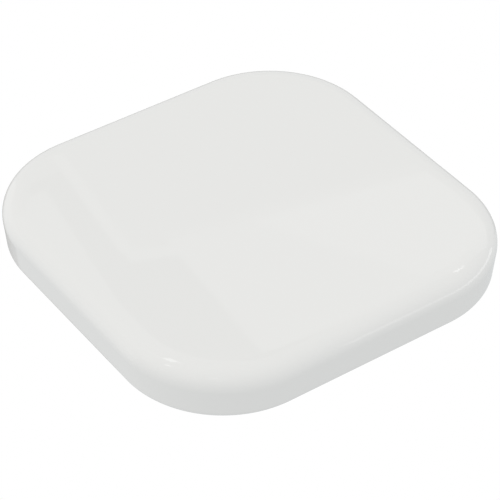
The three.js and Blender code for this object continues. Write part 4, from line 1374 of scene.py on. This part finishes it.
def studio_world():
    """A pale room whose brightness falls off from one side of the ceiling to the opposite floor."""
    world = bpy.data.worlds.new("studio")
    world.use_nodes = True
    tree = world.node_tree
    place = add_node(tree, "ShaderNodeTexCoord").outputs["Generated"]
    facing = add_node(
        tree, "ShaderNodeVectorMath", {"operation": "DOT_PRODUCT", 1: direction(*SKY_AXIS)}, {0: place}
    )
    spread = add_node(tree, "ShaderNodeMapRange", {"From Min": -1.0}, {"Value": facing.outputs["Value"]})
    ramp = add_node(tree, "ShaderNodeValToRGB", links={"Fac": spread.outputs["Result"]})
    stops = ramp.color_ramp.elements
    while len(stops) < len(SKY):
        stops.new(0.5)
    for stop, (position, value) in zip(stops, SKY):
        stop.position = position
        stop.color = (*value, 1)
    background = tree.nodes["Background"]
    tree.links.new(ramp.outputs["Color"], background.inputs["Color"])
    bpy.context.scene.world = world


def card(name, level, corner, right, away, brightness):
    """One card, level and evenly bright, that only glossy surfaces see."""
    bm = bmesh.new()
    bmesh.ops.create_grid(bm, x_segments=1, y_segments=1, size=0.5)
    skew = Matrix.Identity(4)
    skew.col[0][:2] = right
    skew.col[1][:2] = away
    bmesh.ops.transform(bm, matrix=skew, verts=bm.verts)
    middle = Vector(corner) + Vector(right) / 2 + Vector(away) / 2
    bmesh.ops.translate(bm, vec=(*middle, level), verts=bm.verts)
    hung = stage_object(name, bm, glowing(name, brightness))
    hide(hung, "camera", "diffuse", "transmission", "shadow")


def lamp(name, azimuth, elevation, width, height, brightness):
    """A soft rectangular lamp that faces the pad, of a size in degrees as the pad sees it."""
    light = bpy.data.lights.new(name, "AREA")
    light.shape = "RECTANGLE"
    light.size, light.size_y = (
        2 * LAMP_DISTANCE * math.tan(math.radians(angle) / 2) for angle in (width, height)
    )
    light.energy = brightness * math.pi * light.size * light.size_y
    holder = add_object(name, light)
    away = direction(azimuth, elevation)
    holder.location = away * LAMP_DISTANCE
    holder.rotation_mode = "QUATERNION"
    holder.rotation_quaternion = away.to_track_quat("Z", "Y")
    hide(holder, "camera")


class PAD_OT_stage(bpy.types.Operator):
    """Adds the floor, the studio light and the camera"""

    bl_idname = "pad.stage"
    bl_label = "Stage"

    def execute(self, context):
        scene = context.scene
        scene.view_settings.view_transform = "Standard"
        bm = bmesh.new()
        bmesh.ops.create_grid(bm, x_segments=1, y_segments=1, size=ROOM_RADIUS)
        floor = stage_object("floor", bm, glowing("pale_floor", 1.0, front_only=True))
        bm = bmesh.new()
        bmesh.ops.create_icosphere(bm, subdivisions=3, radius=ROOM_RADIUS)
        backdrop = stage_object("backdrop", bm, glowing("pale_backdrop", 1.0))
        for seen_only in (floor, backdrop):
            hide(seen_only, "diffuse", "glossy", "transmission", "shadow")
        studio_world()
        for i, parts in enumerate(CARDS, start=1):
            card(f"card_{i}", *parts)
        for i, parts in enumerate(LAMPS, start=1):
            lamp(f"lamp_{i}", *parts)

        camera = bpy.data.cameras.new("camera")
        camera.sensor_width = CAMERA.sensor
        camera.lens = CAMERA.lens
        holder = add_object("camera", camera)
        back = direction(CAMERA.azimuth, CAMERA.elevation)
        turn = (-back).to_track_quat("-Z", "Y")
        aim = turn @ Vector((AIM.across, AIM.up, 0)) + UP * AIM.height
        holder.location = (back * CAMERA.distance + aim) * MM
        holder.rotation_mode = "QUATERNION"
        holder.rotation_quaternion = turn
        scene.camera = holder
        return {"FINISHED"}


# ------------------------------------------------------------------ Add-on

OPERATORS = (
    PAD_OT_stage, PAD_OT_housing, PAD_OT_cover, PAD_OT_foot, PAD_OT_screws, PAD_OT_light,
    PAD_OT_socket_shell, PAD_OT_socket_insulator, PAD_OT_socket_contacts,
    PAD_OT_board, PAD_OT_chip_parts, PAD_OT_chips,
    PAD_OT_coil, PAD_OT_tapes, PAD_OT_ferrite, PAD_OT_thermistor, PAD_OT_solder,
)


class PAD_PT_panel(bpy.types.Panel):
    """Lists the pad's sizes, colours and pieces"""

    bl_idname = "PAD_PT_panel"
    bl_label = "Wireless charging pad"
    bl_space_type = "VIEW_3D"
    bl_region_type = "UI"
    bl_category = "Charging Pad"

    def draw(self, context):
        for group in (context.scene.pad_sizes, context.scene.pad_colours):
            column = self.layout.column()
            for item in group.bl_rna.properties:
                if item.identifier not in ("rna_type", "name"):
                    column.prop(group, item.identifier)
        for operator in OPERATORS:
            self.layout.operator(operator.bl_idname)


CLASSES = (PadSizes, PadColours, *OPERATORS, PAD_PT_panel)


def register():
    for cls in CLASSES:
        bpy.utils.register_class(cls)
    bpy.types.Scene.pad_sizes = bpy.props.PointerProperty(type=PadSizes)
    bpy.types.Scene.pad_colours = bpy.props.PointerProperty(type=PadColours)


def unregister():
    del bpy.types.Scene.pad_sizes
    del bpy.types.Scene.pad_colours
    for cls in reversed(CLASSES):
        bpy.utils.unregister_class(cls)


def main():
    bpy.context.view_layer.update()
    register()
    for operator in OPERATORS:
        getattr(bpy.ops.pad, operator.bl_idname.split(".")[1])()


if __name__ == "__main__":
    main()
